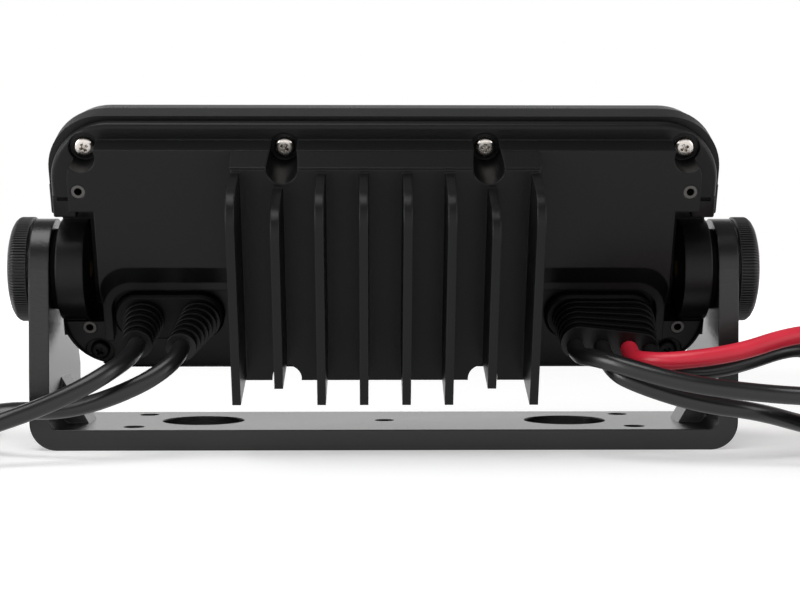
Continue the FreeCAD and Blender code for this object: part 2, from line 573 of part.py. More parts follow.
def lip(sketch, side):
    """Raised lip round a cable recess: an arch with one long leg on the lug's side."""
    outer_x, inner_x = "%d * lip_side" % side, "%d * (lip_side - lip_width)" % side
    block_x = "%d * block_half_width" % side
    radii = (("lip_corner", 3.0), ("lip_corner - lip_width", 2.0))
    span = (0, math.pi / 2) if side > 0 else (math.pi / 2, math.pi)
    leg, top = (1, 2) if side > 0 else (2, 1)
    arcs = [sketch.addGeometry(Part.ArcOfCircle(Part.Circle(Vector(0, 0, 0), Vector(0, 0, 1), now),
                                                *span)) for _, now in radii]
    runs = ((top, Vector(-side * 5, 0, 0), ((block_x, "lip_top"), (block_x, "lip_top - lip_width"))),
            (leg, Vector(0, -5, 0), ((outer_x, "-lip_foot"), (inner_x, "-lip_foot"))))
    for end, away, corners in runs:
        near, far = [sketch.getPoint(arc, end) for arc in arcs]
        ring = [near, near + away, far + away, far]
        first = sketch.GeometryCount
        for here, there in zip(ring[:-1], ring[1:]):
            sketch.addGeometry(Part.LineSegment(here, there))
        joints = ((first, 1, arcs[0], end), (first, 2, first + 1, 1),
                  (first + 1, 2, first + 2, 1), (first + 2, 2, arcs[1], end))
        for joint in joints:
            sketch.addConstraint(Sketcher.Constraint("Coincident", *joint))
        for k, (x, y) in enumerate(corners):
            fix(sketch, "DistanceX", first + k + 1, 1, x)
            fix(sketch, "DistanceY", first + k + 1, 1, y)
    for arc, (radius, now) in zip(arcs, radii):
        sketch.addConstraint(Sketcher.Constraint("Vertical", arc, top, arc, 3))
        sketch.addConstraint(Sketcher.Constraint("Horizontal", arc, leg, arc, 3))
        fix(sketch, "DistanceX", arc, 3, "%d * (lip_side - lip_corner)" % side)
        fix(sketch, "DistanceY", arc, 3, "lip_top - lip_corner")
        held = sketch.addConstraint(Sketcher.Constraint("Radius", arc, now))
        bind(sketch, **{"Constraints[%d]" % held: radius})


for side in (-1, 1):
    grow(housing, "flange_back - " + into, "lip_back - flange_back + " + into, lip, (side,))
screws = [("%d * %s" % (side, across), height)
          for side in (-1, 1) for across in ("screw_row", "screw_end")
          for height in ("screw_top", "-screw_foot")]
sink(housing, "screw_seat", "fin_back", circle,
     *[(x, w, "screw_pocket") for x, w in screws])
sink(housing, FLANGE_FRONT + " - overshoot", "panel_back - wall - %s + overshoot" % FLANGE_FRONT, rounded,
     ("0", "(screw_top - screw_pocket - wall + panel_foot + wall) / 2",
      "notch_half_width - wall",
      "(screw_top - screw_pocket - wall - panel_foot - wall) / 2", "inner_corner"))
sink(housing, FLANGE_FRONT + " - overshoot", "block_back - wall - %s + overshoot" % FLANGE_FRONT, rounded,
     ("0", "(screw_top - screw_foot) / 2", "block_half_width - wall",
      "(screw_top + screw_foot) / 2 - screw_pocket - wall", "inner_corner"))
for side in (-1, 1):
    sink(housing, FLANGE_FRONT + " - overshoot", "flange_thickness + 2 * overshoot", slot,
         ("%d * gland_x" % side, "-gland_drop", "gland_half_width - gland_opening",
          "gland_half_height - gland_opening"))
sink(housing, FLANGE_FRONT + " - overshoot", "screw_seat", circle,
     *[(x, w, "screw_diameter / 2 + screw_play") for x, w in screws])
inserts = {"panel_back": [("%d * insert_gap_x / 2" % side, "insert_top") for side in (-1, 1)],
           "flange_back": [("%d * low_insert_gap_x / 2" % side, "-insert_foot")
                           for side in (-1, 1)]}
for face, places in inserts.items():
    sink(housing, face + " - insert_proud - insert_depth", "insert_depth + overshoot", circle,
         *[(x, w, "insert_diameter / 2") for x, w in places])
sink(housing, "-outer_half_width", "2 * outer_half_width", circle,
     ("0", "0", "stud_diameter / 2 + stud_play"), role="YZ_Plane")

# Fasteners that share one node each
case_screws = new_body("case_screws", True)
grow(case_screws, "screw_seat - screw_length", "screw_length + screw_head_height / 2", circle,
     *[(x, w, "screw_diameter / 2") for x, w in screws])
grow(case_screws, "screw_seat", "screw_head_height", circle,
     *[(x, w, "screw_head / 2") for x, w in screws])
soften(case_screws, "screw_head_height / 2",
       lambda edge: lies_at(edge, -size["screw_seat"] - size["screw_head_height"]))
mounting_inserts = new_body("mounting_inserts", True)
for face, places in inserts.items():
    grow(mounting_inserts, face + " - insert_proud - insert_depth", "insert_depth", circle,
         *[(x, w, "insert_diameter / 2") for x, w in places])
    sink(mounting_inserts, face + " - insert_proud - insert_depth - overshoot",
         "insert_depth + 2 * overshoot", circle,
         *[(x, w, "insert_bore / 2") for x, w in places])


def detour(body, depth, length, wall):
    """Leads a ring's wall round the two pivot bosses."""
    inner = "(boss_inner - boss_play - %s)" % wall
    ring = "(flange_half_width - seal_inset - %s / 2)" % wall
    for side in (-1, 1):
        grow(body, depth, length, rectangle,
             ("%d * (%s + %s) / 2" % (side, inner, ring), "(boss_top - boss_foot) / 2",
              "(%s - %s) / 2" % (ring, inner),
              "(boss_top + boss_foot) / 2 + boss_play + " + wall))


def pivot_notch(body):
    """Makes room for the pivot bosses in what lies round them."""
    outer, high = "(boss_inner - boss_play)", "((boss_top + boss_foot) / 2 + boss_play)"
    for side in (-1, 1):
        sink(body, "-boss_front - boss_seat_play", "boss_front + flange_back", rectangle,
             ("%d * (%s + outer_half_width) / 2" % (side, outer), "(boss_top - boss_foot) / 2",
              "(outer_half_width - %s) / 2" % outer, high))


# Seal, front case and bezel
case_seal = new_body("case_seal", True)
grow(case_seal, SEAL_FRONT, "seal_thickness", rounded,
     ("0", "head_rise", "flange_half_width - seal_inset", "flange_half_height - seal_inset",
      "flange_corner - seal_inset"))
sink(case_seal, SEAL_FRONT + " - overshoot", "seal_thickness + 2 * overshoot", rounded,
     ("0", "head_rise", "flange_half_width - seal_inset - seal_width",
      "flange_half_height - seal_inset - seal_width", "flange_corner - seal_inset - seal_width"))
detour(case_seal, SEAL_FRONT, "seal_thickness", "case_wall")
pivot_notch(case_seal)
sink(case_seal, SEAL_FRONT + " - overshoot", "seal_thickness + 2 * overshoot", circle,
     *[(x, w, "screw_post + fit_play") for x, w in screws])
front_case = new_body("front_case", True)
grow(front_case, CASE_FRONT, "case_side", rounded,
     ("0", "head_rise", "case_half_width", "case_half_height", "case_corner"))
sink(front_case, PLATE_BACK, "case_side", rounded,
     ("0", "head_rise", "case_half_width - case_wall", "case_half_height - case_wall",
      "case_corner - case_wall"))
detour(front_case, PLATE_BACK + " - front_plate / 2",
       "%s - %s + front_plate / 2" % (SEAL_FRONT, PLATE_BACK), "case_wall")
pivot_notch(front_case)
grow(front_case, PLATE_BACK + " - front_plate / 2",
     "%s - %s + front_plate / 2" % (FLANGE_FRONT, PLATE_BACK), circle,
     *[(x, w, "screw_post") for x, w in screws])
sink(front_case, SEAL_FRONT + " - case_side - overshoot",
     "case_side + seal_thickness + 2 * overshoot", circle,
     *[(x, w, "screw_diameter / 2") for x, w in screws])
key_places = [("%g * key_pitch - screen_x" % (step - (KEY_COUNT - 1) / 2), "key_rise")
              for step in range(KEY_COUNT)]
sink(front_case, CASE_FRONT + " - overshoot", "front_plate + 2 * overshoot", rectangle,
     ("-screen_x", "screen_rise", "screen_half_width - screen_ledge",
      "screen_half_height - screen_ledge"),
     *[(x, w, "switch_half_width + part_play", "switch_half_width + part_play")
       for x, w in key_places],
     ("volume_x", "volume_rise", "encoder_half + part_play", "encoder_half + part_play"))
front_bezel = new_body("front_bezel", True)
grow(front_bezel, TRIM_FRONT, "trim_depth", rounded,
     ("0", "head_rise", "trim_half_width", "trim_half_height", "case_corner"))
soften(front_bezel, "trim_round", lambda edge: lies_at(edge, -depth_of(TRIM_FRONT)))
sink(front_bezel, TRIM_INNER, "trim_depth", rounded,
     ("0", "head_rise", "trim_half_width - case_wall", "trim_half_height - case_wall",
      "case_corner - case_wall"))
pivot_notch(front_bezel)
sink(front_bezel, TRIM_FRONT + " - overshoot", "trim_plate + 2 * overshoot", rounded,
     ("-screen_x", "screen_rise", "screen_half_width", "screen_half_height", "screen_corner"),
     *[(x, w, "key_half_width", "key_half_height", "key_corner") for x, w in key_places])
sink(front_bezel, TRIM_FRONT + " - overshoot", "trim_plate + 2 * overshoot", circle,
     ("volume_x", "volume_rise", "encoder_neck + part_play"))

# Display, boards and what they carry
display_lens = new_body("display_lens", True)
grow(display_lens, TRIM_FRONT + " + lens_set_back", "lens_thickness", rounded,
     ("-screen_x", "screen_rise", "screen_half_width - fit_play",
      "screen_half_height - fit_play", "screen_corner"))
display_module = new_body("display_module", True)
grow(display_module, TRIM_INNER + " + module_play",
     "%s - %s - module_play" % (BOARD_FRONT, TRIM_INNER), rectangle,
     ("-screen_x", "screen_rise", "screen_half_width - screen_ledge - part_play",
      "screen_half_height - screen_ledge - part_play"))
control_board = new_body("control_board", True)
grow(control_board, BOARD_FRONT, "board_thickness", rectangle,
     ("0", "head_rise", "post_x + board_edge",
      "screw_top - screw_post - head_rise - board_play"))
grow(front_case, PLATE_BACK + " - front_plate / 2", "board_gap + front_plate / 2", circle,
     *[("%d * post_x" % side, w, "post_radius") for side in (-1, 1)
       for w in ("post_low", "post_high")])
key_switches = new_body("key_switches", True)
grow(key_switches, BOARD_FRONT + " - switch_height", "switch_height", rectangle,
     *[(x, w, "switch_half_width", "switch_half_width") for x, w in key_places])
plunger = "(%s - switch_height - plunger_height)" % BOARD_FRONT
grow(key_switches, plunger, "plunger_height + lap", circle,
     *[(x, w, "plunger_radius") for x, w in key_places])
encoder = new_body("encoder", True)
grow(encoder, BOARD_FRONT + " - encoder_height", "encoder_height", rectangle,
     ("volume_x", "volume_rise", "encoder_half", "encoder_half"))
grow(encoder, TRIM_FRONT, "%s - %s - encoder_height + lap" % (BOARD_FRONT, TRIM_FRONT), circle,
     ("volume_x", "volume_rise", "encoder_neck"))
bore_end = "(%s - encoder_floor)" % BOARD_FRONT
sink(encoder, TRIM_FRONT + " - overshoot", "%s + overshoot - %s" % (bore_end, TRIM_FRONT),
     circle, ("volume_x", "volume_rise", "volume_shaft / 2 + side_play"))
encoder_shaft = new_body("encoder_shaft", True)
shaft_front = "(%s - volume_gap - volume_length + volume_face)" % TRIM_FRONT
sensor_back = "(%s - key_travel - push_play)" % bore_end
grow(encoder_shaft, shaft_front,
     "%s - sensor_thickness - end_play - %s" % (sensor_back, shaft_front), circle,
     ("volume_x", "volume_rise", "volume_shaft / 2"))
push_sensor = new_body("push_sensor", True)
grow(push_sensor, sensor_back + " - sensor_thickness", "sensor_thickness", circle,
     ("volume_x", "volume_rise", "volume_shaft / 2"))
volume_knob = new_body("volume_knob", True)
knob_back = "(%s - volume_gap)" % TRIM_FRONT
knob_front = "(%s - volume_gap - volume_length)" % TRIM_FRONT
grow(volume_knob, knob_front, "volume_length", circle,
     ("volume_x", "volume_rise", "volume_radius"))
soften(volume_knob, "volume_edge", lambda edge: lies_at(edge, -depth_of(TRIM_FRONT)
                                                        + size["volume_gap"]
                                                        + size["volume_length"]))
sink(volume_knob, shaft_front, "volume_length", circle,
     ("volume_x", "volume_rise", "volume_shaft / 2"))
grips = sketch_on(volume_knob, "XZ_Plane", knob_back)
bind(grips, AttachmentOffset__Base__x="volume_x", AttachmentOffset__Base__y="volume_rise")
circle(grips, "volume_radius + volume_grip / 2", "0", "volume_grip")
doc.recompute()
grip = volume_knob.newObject("PartDesign::Pocket", "volume_knob_grip")
grip.Profile = grips
bind(grip, Length="volume_length - 2 * volume_edge")
made(grip)
repeat_round(volume_knob, grip, (grips, ["N_Axis"]), "volume_grip_count")
main_board = new_body("main_board", True)
grow(main_board, "main_board_back - board_thickness", "board_thickness", rounded,
     ("0", "(screw_top - screw_foot) / 2", "block_half_width - wall - board_play",
      "(screw_top + screw_foot) / 2 - screw_pocket - wall - board_play", "inner_corner"))
amplifier_chips = new_body("amplifier_chips", True)
grow(amplifier_chips, "block_back - wall - chip_thickness", "chip_thickness", rectangle,
     *[("%d * 2 * chip_half_width" % side, "head_rise", "chip_half_width",
        "chip_half_width") for side in (-1, 1)])
board_screws = new_body("board_screws", True)
board_posts = [("%d * (block_half_width - 2 * wall - board_post_inset)" % side, height)
               for side in (-1, 1)
               for height in ("screw_top - screw_pocket - 2 * wall - board_post_inset",
                              "-(screw_foot - screw_pocket - 2 * wall - board_post_inset)")]
grow(housing, "main_board_back", "block_back - wall - main_board_back + lap", circle,
     *[(x, w, "board_post") for x, w in board_posts])
grow(board_screws, "main_board_back - board_thickness - board_screw_height",
     "board_screw_height", circle, *[(x, w, "board_screw_head / 2") for x, w in board_posts])

# Keys in the bezel: cap, rim behind the plate and a stem over the switch
for step, (x, w) in enumerate(key_places):
    key = new_body("key_%d" % (step + 1), True)
    key_back = "(%s + fit_play + key_rim_thickness)" % TRIM_INNER
    grow(key, TRIM_FRONT + " - key_proud", "trim_plate + key_proud + lap", rounded,
         (x, w, "key_half_width - fit_play", "key_half_height - fit_play",
          "key_corner - fit_play"))
    grow(key, TRIM_INNER + " + fit_play", "key_rim_thickness", rounded,
         (x, w, "key_half_width + key_rim", "key_half_height + key_rim", "key_corner"))
    grow(key, key_back + " - lap",
         "%s - key_travel - push_play - %s + lap" % (plunger, key_back), circle,
         (x, w, "plunger_radius"))

# Glands and boots
for side_name, side in (("left", -1), ("right", 1)):
    plate = new_body(side_name + "_gland_plate", True)
    grow(plate, "flange_back", "gland_back - flange_back", slot,
         ("%d * gland_x" % side, "-gland_drop", "gland_half_width", "gland_half_height"))
    soften(plate, "gland_edge", lambda edge: lies_at(edge, -size["gland_back"]), "Chamfer")


def rib_levels(count):
    """For each rib of a boot: its share of the way, and where its core and rim start."""
    step = "(boot_end - gland_back) / %d" % count
    for rib in range(count):
        core = "(gland_back + (boot_end - gland_back) * %g)" % (rib / count)
        rim = "(gland_back + (boot_end - gland_back) * (%d + rib_groove) / %d)" % (rib, count)
        yield rib / (count - 1), core, rim, step


def round_boot(label, name, count):
    """Ribbed boot of one cable: ever smaller discs on a core, drifting to the cable's side."""
    body = new_body(label, True)
    for share, core, rim, step in rib_levels(count):
        x = "-(%s_x + (%s_end_x - %s_x) * %g)" % (name, name, name, share)
        w = "-gland_drop - %s_sag * %g" % (name, share)
        radius = "boot_root_radius - (boot_root_radius - boot_end_radius) * %g" % share
        grow(body, core, step, circle, (x, w, radius + " - boot_groove"))
        grow(body, rim, "(1 - rib_groove) * " + step, circle, (x, w, radius))


round_boot("outer_left_boot", "outer_boot", 6)
round_boot("inner_left_boot", "inner_boot", 7)
wide = new_body("right_cable_boot", True)


def wide_section(depth, length, share, groove):
    """One step of the wide boot, rolled a little about its own axis."""
    sketch = sketch_on(wide, "XZ_Plane", depth)
    bind(sketch, AttachmentOffset__Base__x="gland_x + wide_boot_shift",
         AttachmentOffset__Base__y="-gland_drop - wide_boot_sag * %g" % share)
    sketch.AttachmentOffset = Placement(sketch.AttachmentOffset.Base,
                                        Rotation(Vector(0, 0, 1), -1))
    bind(sketch, AttachmentOffset__Rotation__Angle="-wide_boot_roll * %g" % share)
    taper = "wide_boot_%s - (wide_boot_%s - wide_boot_end_%s) * %g - " + groove
    slot(sketch, "0", "0", *[taper % (way, way, way, share)
                             for way in ("half_width", "half_height")])
    doc.recompute()
    pad = wide.newObject("PartDesign::Pad", wide.Label + "_rib")
    pad.Profile = sketch
    bind(pad, Length=length)
    made(pad)


for share, core, rim, step in rib_levels(6):
    wide_section(core, step, share, "boot_groove")
    wide_section(rim, "(1 - rib_groove) * " + step, share, "0")


# Cables. Each starts square to its boot's end face, passes the bracket's arm and ends in a small
# put-away coil beside the bracket.
def bend(before, corner, after, share=0.45):
    """Tangent arc at a corner of a route: its ends, its middle and its radius."""
    back = (before - corner).normalize()
    ahead = (after - corner).normalize()
    half_turn = (math.pi - back.getAngle(ahead)) / 2
    trim = share * min(before.distanceToPoint(corner), after.distanceToPoint(corner))
    radius = trim / math.tan(half_turn)
    inward = (back + ahead).normalize()
    middle = corner + inward * (radius / math.cos(half_turn) - radius)
    return corner + back * trim, middle, corner + ahead * trim, radius


def tube(path, diameter):
    """Solid tube along a smooth wire."""
    start = path.Edges[0]
    tangent = start.tangentAt(start.FirstParameter)
    ring = Part.Wire(Part.Circle(start.valueAt(start.FirstParameter), tangent,
                                 diameter / 2).toShape())
    shell = Part.BRepOffsetAPI.MakePipeShell(path)
    shell.add(ring)
    shell.build()
    shell.makeSolid()
    return shell.shape()


def route_wire(points, label):
    edges = []
    radii = []
    at = points[0]
    for before, corner, after in zip(points[:-2], points[1:-1], points[2:]):
        start, middle, end, radius = bend(before, corner, after)
        edges.append(Part.LineSegment(at, start).toShape())
        edges.append(Part.Arc(start, middle, end).toShape())
        radii.append(radius)
        at = end
    edges.append(Part.LineSegment(at, points[-1]).toShape())
    print(label, "radii", " ".join("%.0f" % radius for radius in radii))
    return Part.Wire(edges)


def coil_point(turned, hand, centre, first):
    """Centre line of a coil: inwards in the upper layer, down a layer, and out below."""
    middle = math.pi * size["coil_turns"]
    inward = middle - abs(turned - middle)
    radius = size["coil_radius"] - size["coil_pitch"] * inward / (2 * math.pi)
    fallen = min(max((turned - middle) / math.pi + 0.5, 0), 1)
    height = centre.z - size["coil_layer"] * fallen * fallen * (3 - 2 * fallen)
    angle = first + hand * turned
    return Vector(centre.x + radius * math.cos(angle), centre.y + radius * math.sin(angle), height)


def biarc(start, start_way, end, end_way):
    """Two tangent arcs from one point and direction to another."""
    chord = end - start
    ways = start_way + end_way
    squared = 2 * (start_way.dot(end_way) - 1)
    linear = -2 * chord.dot(ways)
    constant = chord.dot(chord)
    root = math.sqrt(linear * linear - 4 * squared * constant)
    reach = (-linear - root) / (2 * squared)
    reach = reach if reach > 0 else (-linear + root) / (2 * squared)
    near, far = start + start_way * reach, end - end_way * reach
    joint = (near + far) * 0.5
    arcs = []
    for before, corner, after in ((start, near, joint), (joint, far, end)):
        _, middle, _, _ = bend(before, corner, after, 1.0)
        arcs.append(Part.Arc(before, middle, after).toShape())
    return arcs


def coil(label, start, way, hand):
    """Coil whose first straight begins at start and points along way; hand 1 winds left."""
    straight = size["cord_diameter"]
    inward = Vector(-way.y * hand, way.x * hand, 0)
    entry = start + way * straight
    centre = entry + inward * size["coil_radius"]
    first = math.atan2(-inward.y, -inward.x)
    quarters = int(round(4 * size["coil_turns"]))
    turned = [k * math.pi / 2 for k in range(quarters + 1)]
    points = [coil_point(t, hand, centre, first) for t in turned]
    ways = []
    for t in turned:
        small = 1e-4
        ahead = coil_point(t + small, hand, centre, first)
        behind = coil_point(t - small, hand, centre, first)
        ways.append((ahead - behind).normalize())
    ways[0] = Vector(way)
    ways[-1] = way * math.cos(turned[-1])
    edges = [Part.LineSegment(start, points[0]).toShape()]
    for k in range(quarters):
        edges += biarc(points[k], ways[k], points[k + 1], ways[k + 1])
    edges.append(Part.LineSegment(points[-1], points[-1] + ways[-1] * straight).toShape())
    path = Part.Wire(edges)
    samples = path.discretize(Distance=1.0)
    gap = 1e9
    apart = int(2.5 * size["cord_diameter"])
    for k, here in enumerate(samples):
        for there in samples[k + apart:]:
            gap = min(gap, here.distanceToPoint(there) - size["cord_diameter"])
    print(label, "length %.0f, gap to itself %.2f" % (path.Length, gap))
    return path


def cord(label, points, hand):
    """A free stretch and its coil, as two solids that meet face to face."""
    route = [Vector(*point) for point in points]
    free = doc.addObject("Part::Feature", label + "_lead")
    free.Label = label + "_lead"
    path = route_wire(route, label)
    free.Shape = tube(path, size["cord_diameter"])
    free.Placement = Placement()
    section = math.pi * size["cord_diameter"] ** 2 / 4
    print(label, "volume ratio %.4f" % (free.Shape.Volume / (section * path.Length)))
    way = (route[-1] - route[-2]).normalize()
    wound = doc.addObject("Part::Feature", label + "_coil")
    wound.Label = label + "_coil"
    path = coil(label, route[-1], way, hand)
    wound.Shape = tube(path, size["cord_diameter"])
    wound.Placement = Placement()
    print(label, "coil volume ratio %.4f" % (wound.Shape.Volume / (section * path.Length)))
    parts.extend([free, wound])


head_place = Placement(Vector(0, size["arm_top_radius"] - size["base_depth"] / 2,
                              size["pivot_height"]), Rotation(Vector(1, 0, 0), size["tilt"]))


def from_head(x, depth, w):
    point = head_place.multVec(Vector(x, -depth, w))
    return (point.x, point.y, point.z)


def leaving(x, w, straight="lead_out"):
    """Where a cable leaves its boot, and a point straight behind it."""
    return [from_head(x, size["boot_end"], w), from_head(x, size["boot_end"] + size[straight], w)]


floor_top = size["cord_diameter"] / 2 + size["coil_layer"]
stack_top = floor_top + 2 * size["coil_layer"]
outer_end = (-size["outer_boot_end_x"], -size["gland_drop"] - size["outer_boot_sag"])
inner_end = (-size["inner_boot_end_x"], -size["gland_drop"] - size["inner_boot_sag"])
cord("outer_left", leaving(*outer_end) + [
    (-75.4, -48.5, 25.2), (-81.1, -52.3, 21.6), (-87.9, -54.6, 18.1), (-96.2, -56.2, 14.6),
    (-105.0, -58.0, 11.6), (-113.0, -62.8, 9.2), (-120.1, -68.0, floor_top),
    (-126.8, -72.4, floor_top)], -1)
cord("inner_left", leaving(*inner_end) + [
    (-64.6, -44.9, 22.7), (-73.6, -46.2, 18.4), (-83.6, -44.6, 14.9), (-93.2, -42.4, 13.2),
    (-102.2, -40.2, 13.4), (-111.2, -36.0, 12.2), (-118.0, -27.0, 10.2), (-121.5, -14.5, 8.6),
    (-123.0, -1.3, floor_top), (-124.1, 7.6, floor_top)], 1)
cord("first_black", leaving(54.3, -11.0) + [
    (57.7, -48.0, 28.6), (64.5, -54.3, 26.8), (72.3, -57.8, 24.6), (80.4, -59.7, 22.6),
    (88.8, -60.6, 21.2), (97.4, -60.9, 20.2), (106.5, -62.0, 19.4), (115.2, -65.6, 19.2),
    (123.7, -71.0, stack_top), (131.9, -74.8, stack_top)], 1)
cord("second_black", leaving(62.0, -11.4) + [
    (64.2, -46.8, 23.9), (69.2, -50.1, 21.6), (75.6, -51.6, 19.3), (82.6, -52.2, 17.2),
    (90.8, -52.0, 15.4), (99.8, -50.8, 14.2), (108.0, -46.6, 12.2), (115.0, -41.6, 10.0),
    (121.6, -37.0, floor_top), (128.1, -32.4, floor_top)], -1)
cord("red", leaving(69.7, -11.6) + [
    (71.7, -46.4, 27.6), (77.3, -50.8, 27.6), (84.5, -52.2, 28.4), (92.3, -51.9, 29.4),
    (100.4, -50.6, 31.0), (109.0, -48.2, 33.6), (118.5, -45.5, 35.2), (129.5, -41.5, 34.6),
    (138.0, -34.0, 31.5), (141.8, -23.5, 26.0), (140.5, -13.1, stack_top),
    (137.4, -4.6, stack_top)], -1)
cord("third_black", leaving(75.9, -12.6, "short_lead_out") + [
    (78.2, -41.0, 25.9), (82.4, -44.2, 24.5), (87.7, -45.3, 24.3), (95.2, -44.4, 25.4),
    (103.0, -42.6, 27.4), (111.4, -40.4, 30.0), (119.5, -35.6, 30.5), (125.6, -27.0, 26.5),
    (129.4, -14.5, 17.5), (131.7, 1.5, floor_top), (133.6, 10.3, floor_top)], -1)

doc.recompute()
for thing in doc.Objects:
    if "Invalid" in thing.State or "Error" in thing.State:
        raise RuntimeError(thing.Name + ": " + str(thing.State))
for part in parts:
    if part.Shape.isNull() or not part.Shape.isValid():
        raise RuntimeError(part.Label + ": bad shape")
os.makedirs("parts", exist_ok=True)
for part in parts:
    part.Shape.exportStep("parts/" + part.Label + ".step")
    box = part.Shape.BoundBox
    print("%-20s %2d solids %9.0f mm3  %7.1f %7.1f %7.1f .. %7.1f %7.1f %7.1f" % (
        part.Label, len(part.Shape.Solids), part.Shape.Volume,
        box.XMin, box.YMin, box.ZMin, box.XMax, box.YMax, box.ZMax))
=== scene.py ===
# %% [markdown]
# # A marine stereo, seen from behind
# The radio head is a sealed box: a finned die-cast back, a front case and a bezel. It hangs between
# the two arms of a U bracket and is held by two knurled knobs. Six cables leave through rubber
# boots and end in small coils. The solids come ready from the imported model, so this lesson is
# about what they don't have: paint, rubber, metal, glass, cords, light and a camera.

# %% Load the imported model
import math

import bmesh
import bpy
from mathutils import Matrix, Vector


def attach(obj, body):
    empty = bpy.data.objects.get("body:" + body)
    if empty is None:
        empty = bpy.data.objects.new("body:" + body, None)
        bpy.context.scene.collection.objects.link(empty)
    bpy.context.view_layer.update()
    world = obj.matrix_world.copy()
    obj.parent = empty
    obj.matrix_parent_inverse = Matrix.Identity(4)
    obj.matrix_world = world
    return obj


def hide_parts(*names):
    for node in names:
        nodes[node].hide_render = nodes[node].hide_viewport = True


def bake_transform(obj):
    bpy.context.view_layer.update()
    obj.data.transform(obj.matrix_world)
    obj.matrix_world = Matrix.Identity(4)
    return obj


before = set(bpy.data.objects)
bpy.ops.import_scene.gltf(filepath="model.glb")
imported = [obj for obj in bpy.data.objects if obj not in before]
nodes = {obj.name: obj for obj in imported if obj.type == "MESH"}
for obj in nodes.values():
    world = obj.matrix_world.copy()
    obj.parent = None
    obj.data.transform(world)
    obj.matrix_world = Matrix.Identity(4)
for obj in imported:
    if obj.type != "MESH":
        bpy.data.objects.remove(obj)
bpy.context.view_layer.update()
MM = 0.001
bpy.ops.object.select_all(action="DESELECT")

# %% [markdown]
# ## Camera
# The photograph was taken from half a metre behind the radio, a little above the middle of its
# height and almost level. Where edges that are parallel on the object run in the picture gives
# the distance and the lens, so the camera is set by numbers and not by eye.

# %% Camera
lens = bpy.data.cameras.new("camera")
lens.sensor_width = 36.0
lens.lens = 73.8
lens.clip_start = 0.01
camera = bpy.data.objects.new("camera", lens)
camera.location = (-0.00324, -0.50066, 0.06057)
camera.rotation_euler = (math.radians(90.0 - 2.03), 0.0, math.radians(-0.92))
bpy.context.scene.collection.objects.link(camera)
bpy.context.scene.camera = camera
bpy.context.scene.view_settings.view_transform = "Standard"
print("camera", tuple(camera.location), "lens", lens.lens)

# %% [markdown]
# ## Cords
# A cord is a fixed length of something that bends. Each one is drawn as a single smooth curve:
# a few control points where it leaves its boot and passes the bracket's arm, and then a neat
# coil in two layers that lies beside the bracket, just outside the picture. At the right two
# coils lie on two others, so that the four take no more floor than two.
# The coil is worked out by a formula and its points go into the same curve. The curve with no
# thickness gives the centre line, and with thickness it gives the tube.

# %% Cord routes, in millimetres
CORD_DIAMETER = 5.0
ROUTES = {
    "outer_left": (-1, [
        (-70.6, -34.13, 31.39), (-70.6, -39.65, 29.04), (-75.4, -48.5, 25.2), (-81.1, -52.3, 21.6),
        (-87.9, -54.6, 18.1), (-96.2, -56.2, 14.6), (-105, -58, 11.6), (-113, -62.8, 9.2),
        (-120.1, -68, 8.1), (-126.8, -72.4, 8.1)]),
    "inner_left": (1, [
        (-58.1, -33.74, 30.47), (-58.1, -39.26, 28.12), (-64.6, -44.9, 22.7), (-73.6, -46.2, 18.4),
        (-83.6, -44.6, 14.9), (-93.2, -42.4, 13.2), (-102.2, -40.2, 13.4), (-111.2, -36, 12.2),
        (-118, -27, 10.2), (-121.5, -14.5, 8.6), (-123, -1.3, 8.1), (-124.1, 7.6, 8.1)]),
    "first_black": (1, [
        (54.3, -33.82, 30.65), (54.3, -39.34, 28.31), (57.7, -48, 28.6), (64.5, -54.3, 26.8),
        (72.3, -57.8, 24.6), (80.4, -59.7, 22.6), (88.8, -60.6, 21.2), (97.4, -60.9, 20.2),
        (106.5, -62, 19.4), (115.2, -65.6, 19.2), (123.7, -71, 19.3), (131.9, -74.8, 19.3)]),
    "second_black": (-1, [
        (62, -33.66, 30.28), (62, -39.18, 27.94), (64.2, -46.8, 23.9), (69.2, -50.1, 21.6),
        (75.6, -51.6, 19.3), (82.6, -52.2, 17.2), (90.8, -52, 15.4), (99.8, -50.8, 14.2),
        (108, -46.6, 12.2), (115, -41.6, 10), (121.6, -37, 8.1), (128.1, -32.4, 8.1)]),
    "red": (-1, [
        (69.7, -33.58, 30.1), (69.7, -39.11, 27.76), (71.7, -46.4, 27.6), (77.3, -50.8, 27.6),
        (84.5, -52.2, 28.4), (92.3, -51.9, 29.4), (100.4, -50.6, 31), (109, -48.2, 33.6),
        (118.5, -45.5, 35.2), (129.5, -41.5, 34.6), (138, -34, 31.5), (141.8, -23.5, 26),
        (140.5, -13.1, 19.3), (137.4, -4.6, 19.3)]),
    "third_black": (-1, [
        (75.9, -33.19, 29.18), (75.9, -36.41, 27.81), (78.2, -41, 25.9), (82.4, -44.2, 24.5),
        (87.7, -45.3, 24.3), (95.2, -44.4, 25.4), (103, -42.6, 27.4), (111.4, -40.4, 30),
        (119.5, -35.6, 30.5), (125.6, -27, 26.5), (129.4, -14.5, 17.5), (131.7, 1.5, 8.1),
        (133.6, 10.3, 8.1)]),
}
print(len(ROUTES), "cords")

# %% The coil's sizes
COIL_TURNS = 2.5
COIL_RADIUS = 27.5
COIL_PITCH = 5.7
COIL_LAYER = 5.6
POINTS_PER_TURN = 16
print("coil of %.1f turns, %.0f mm across" % (COIL_TURNS, 2.0 * COIL_RADIUS + CORD_DIAMETER))


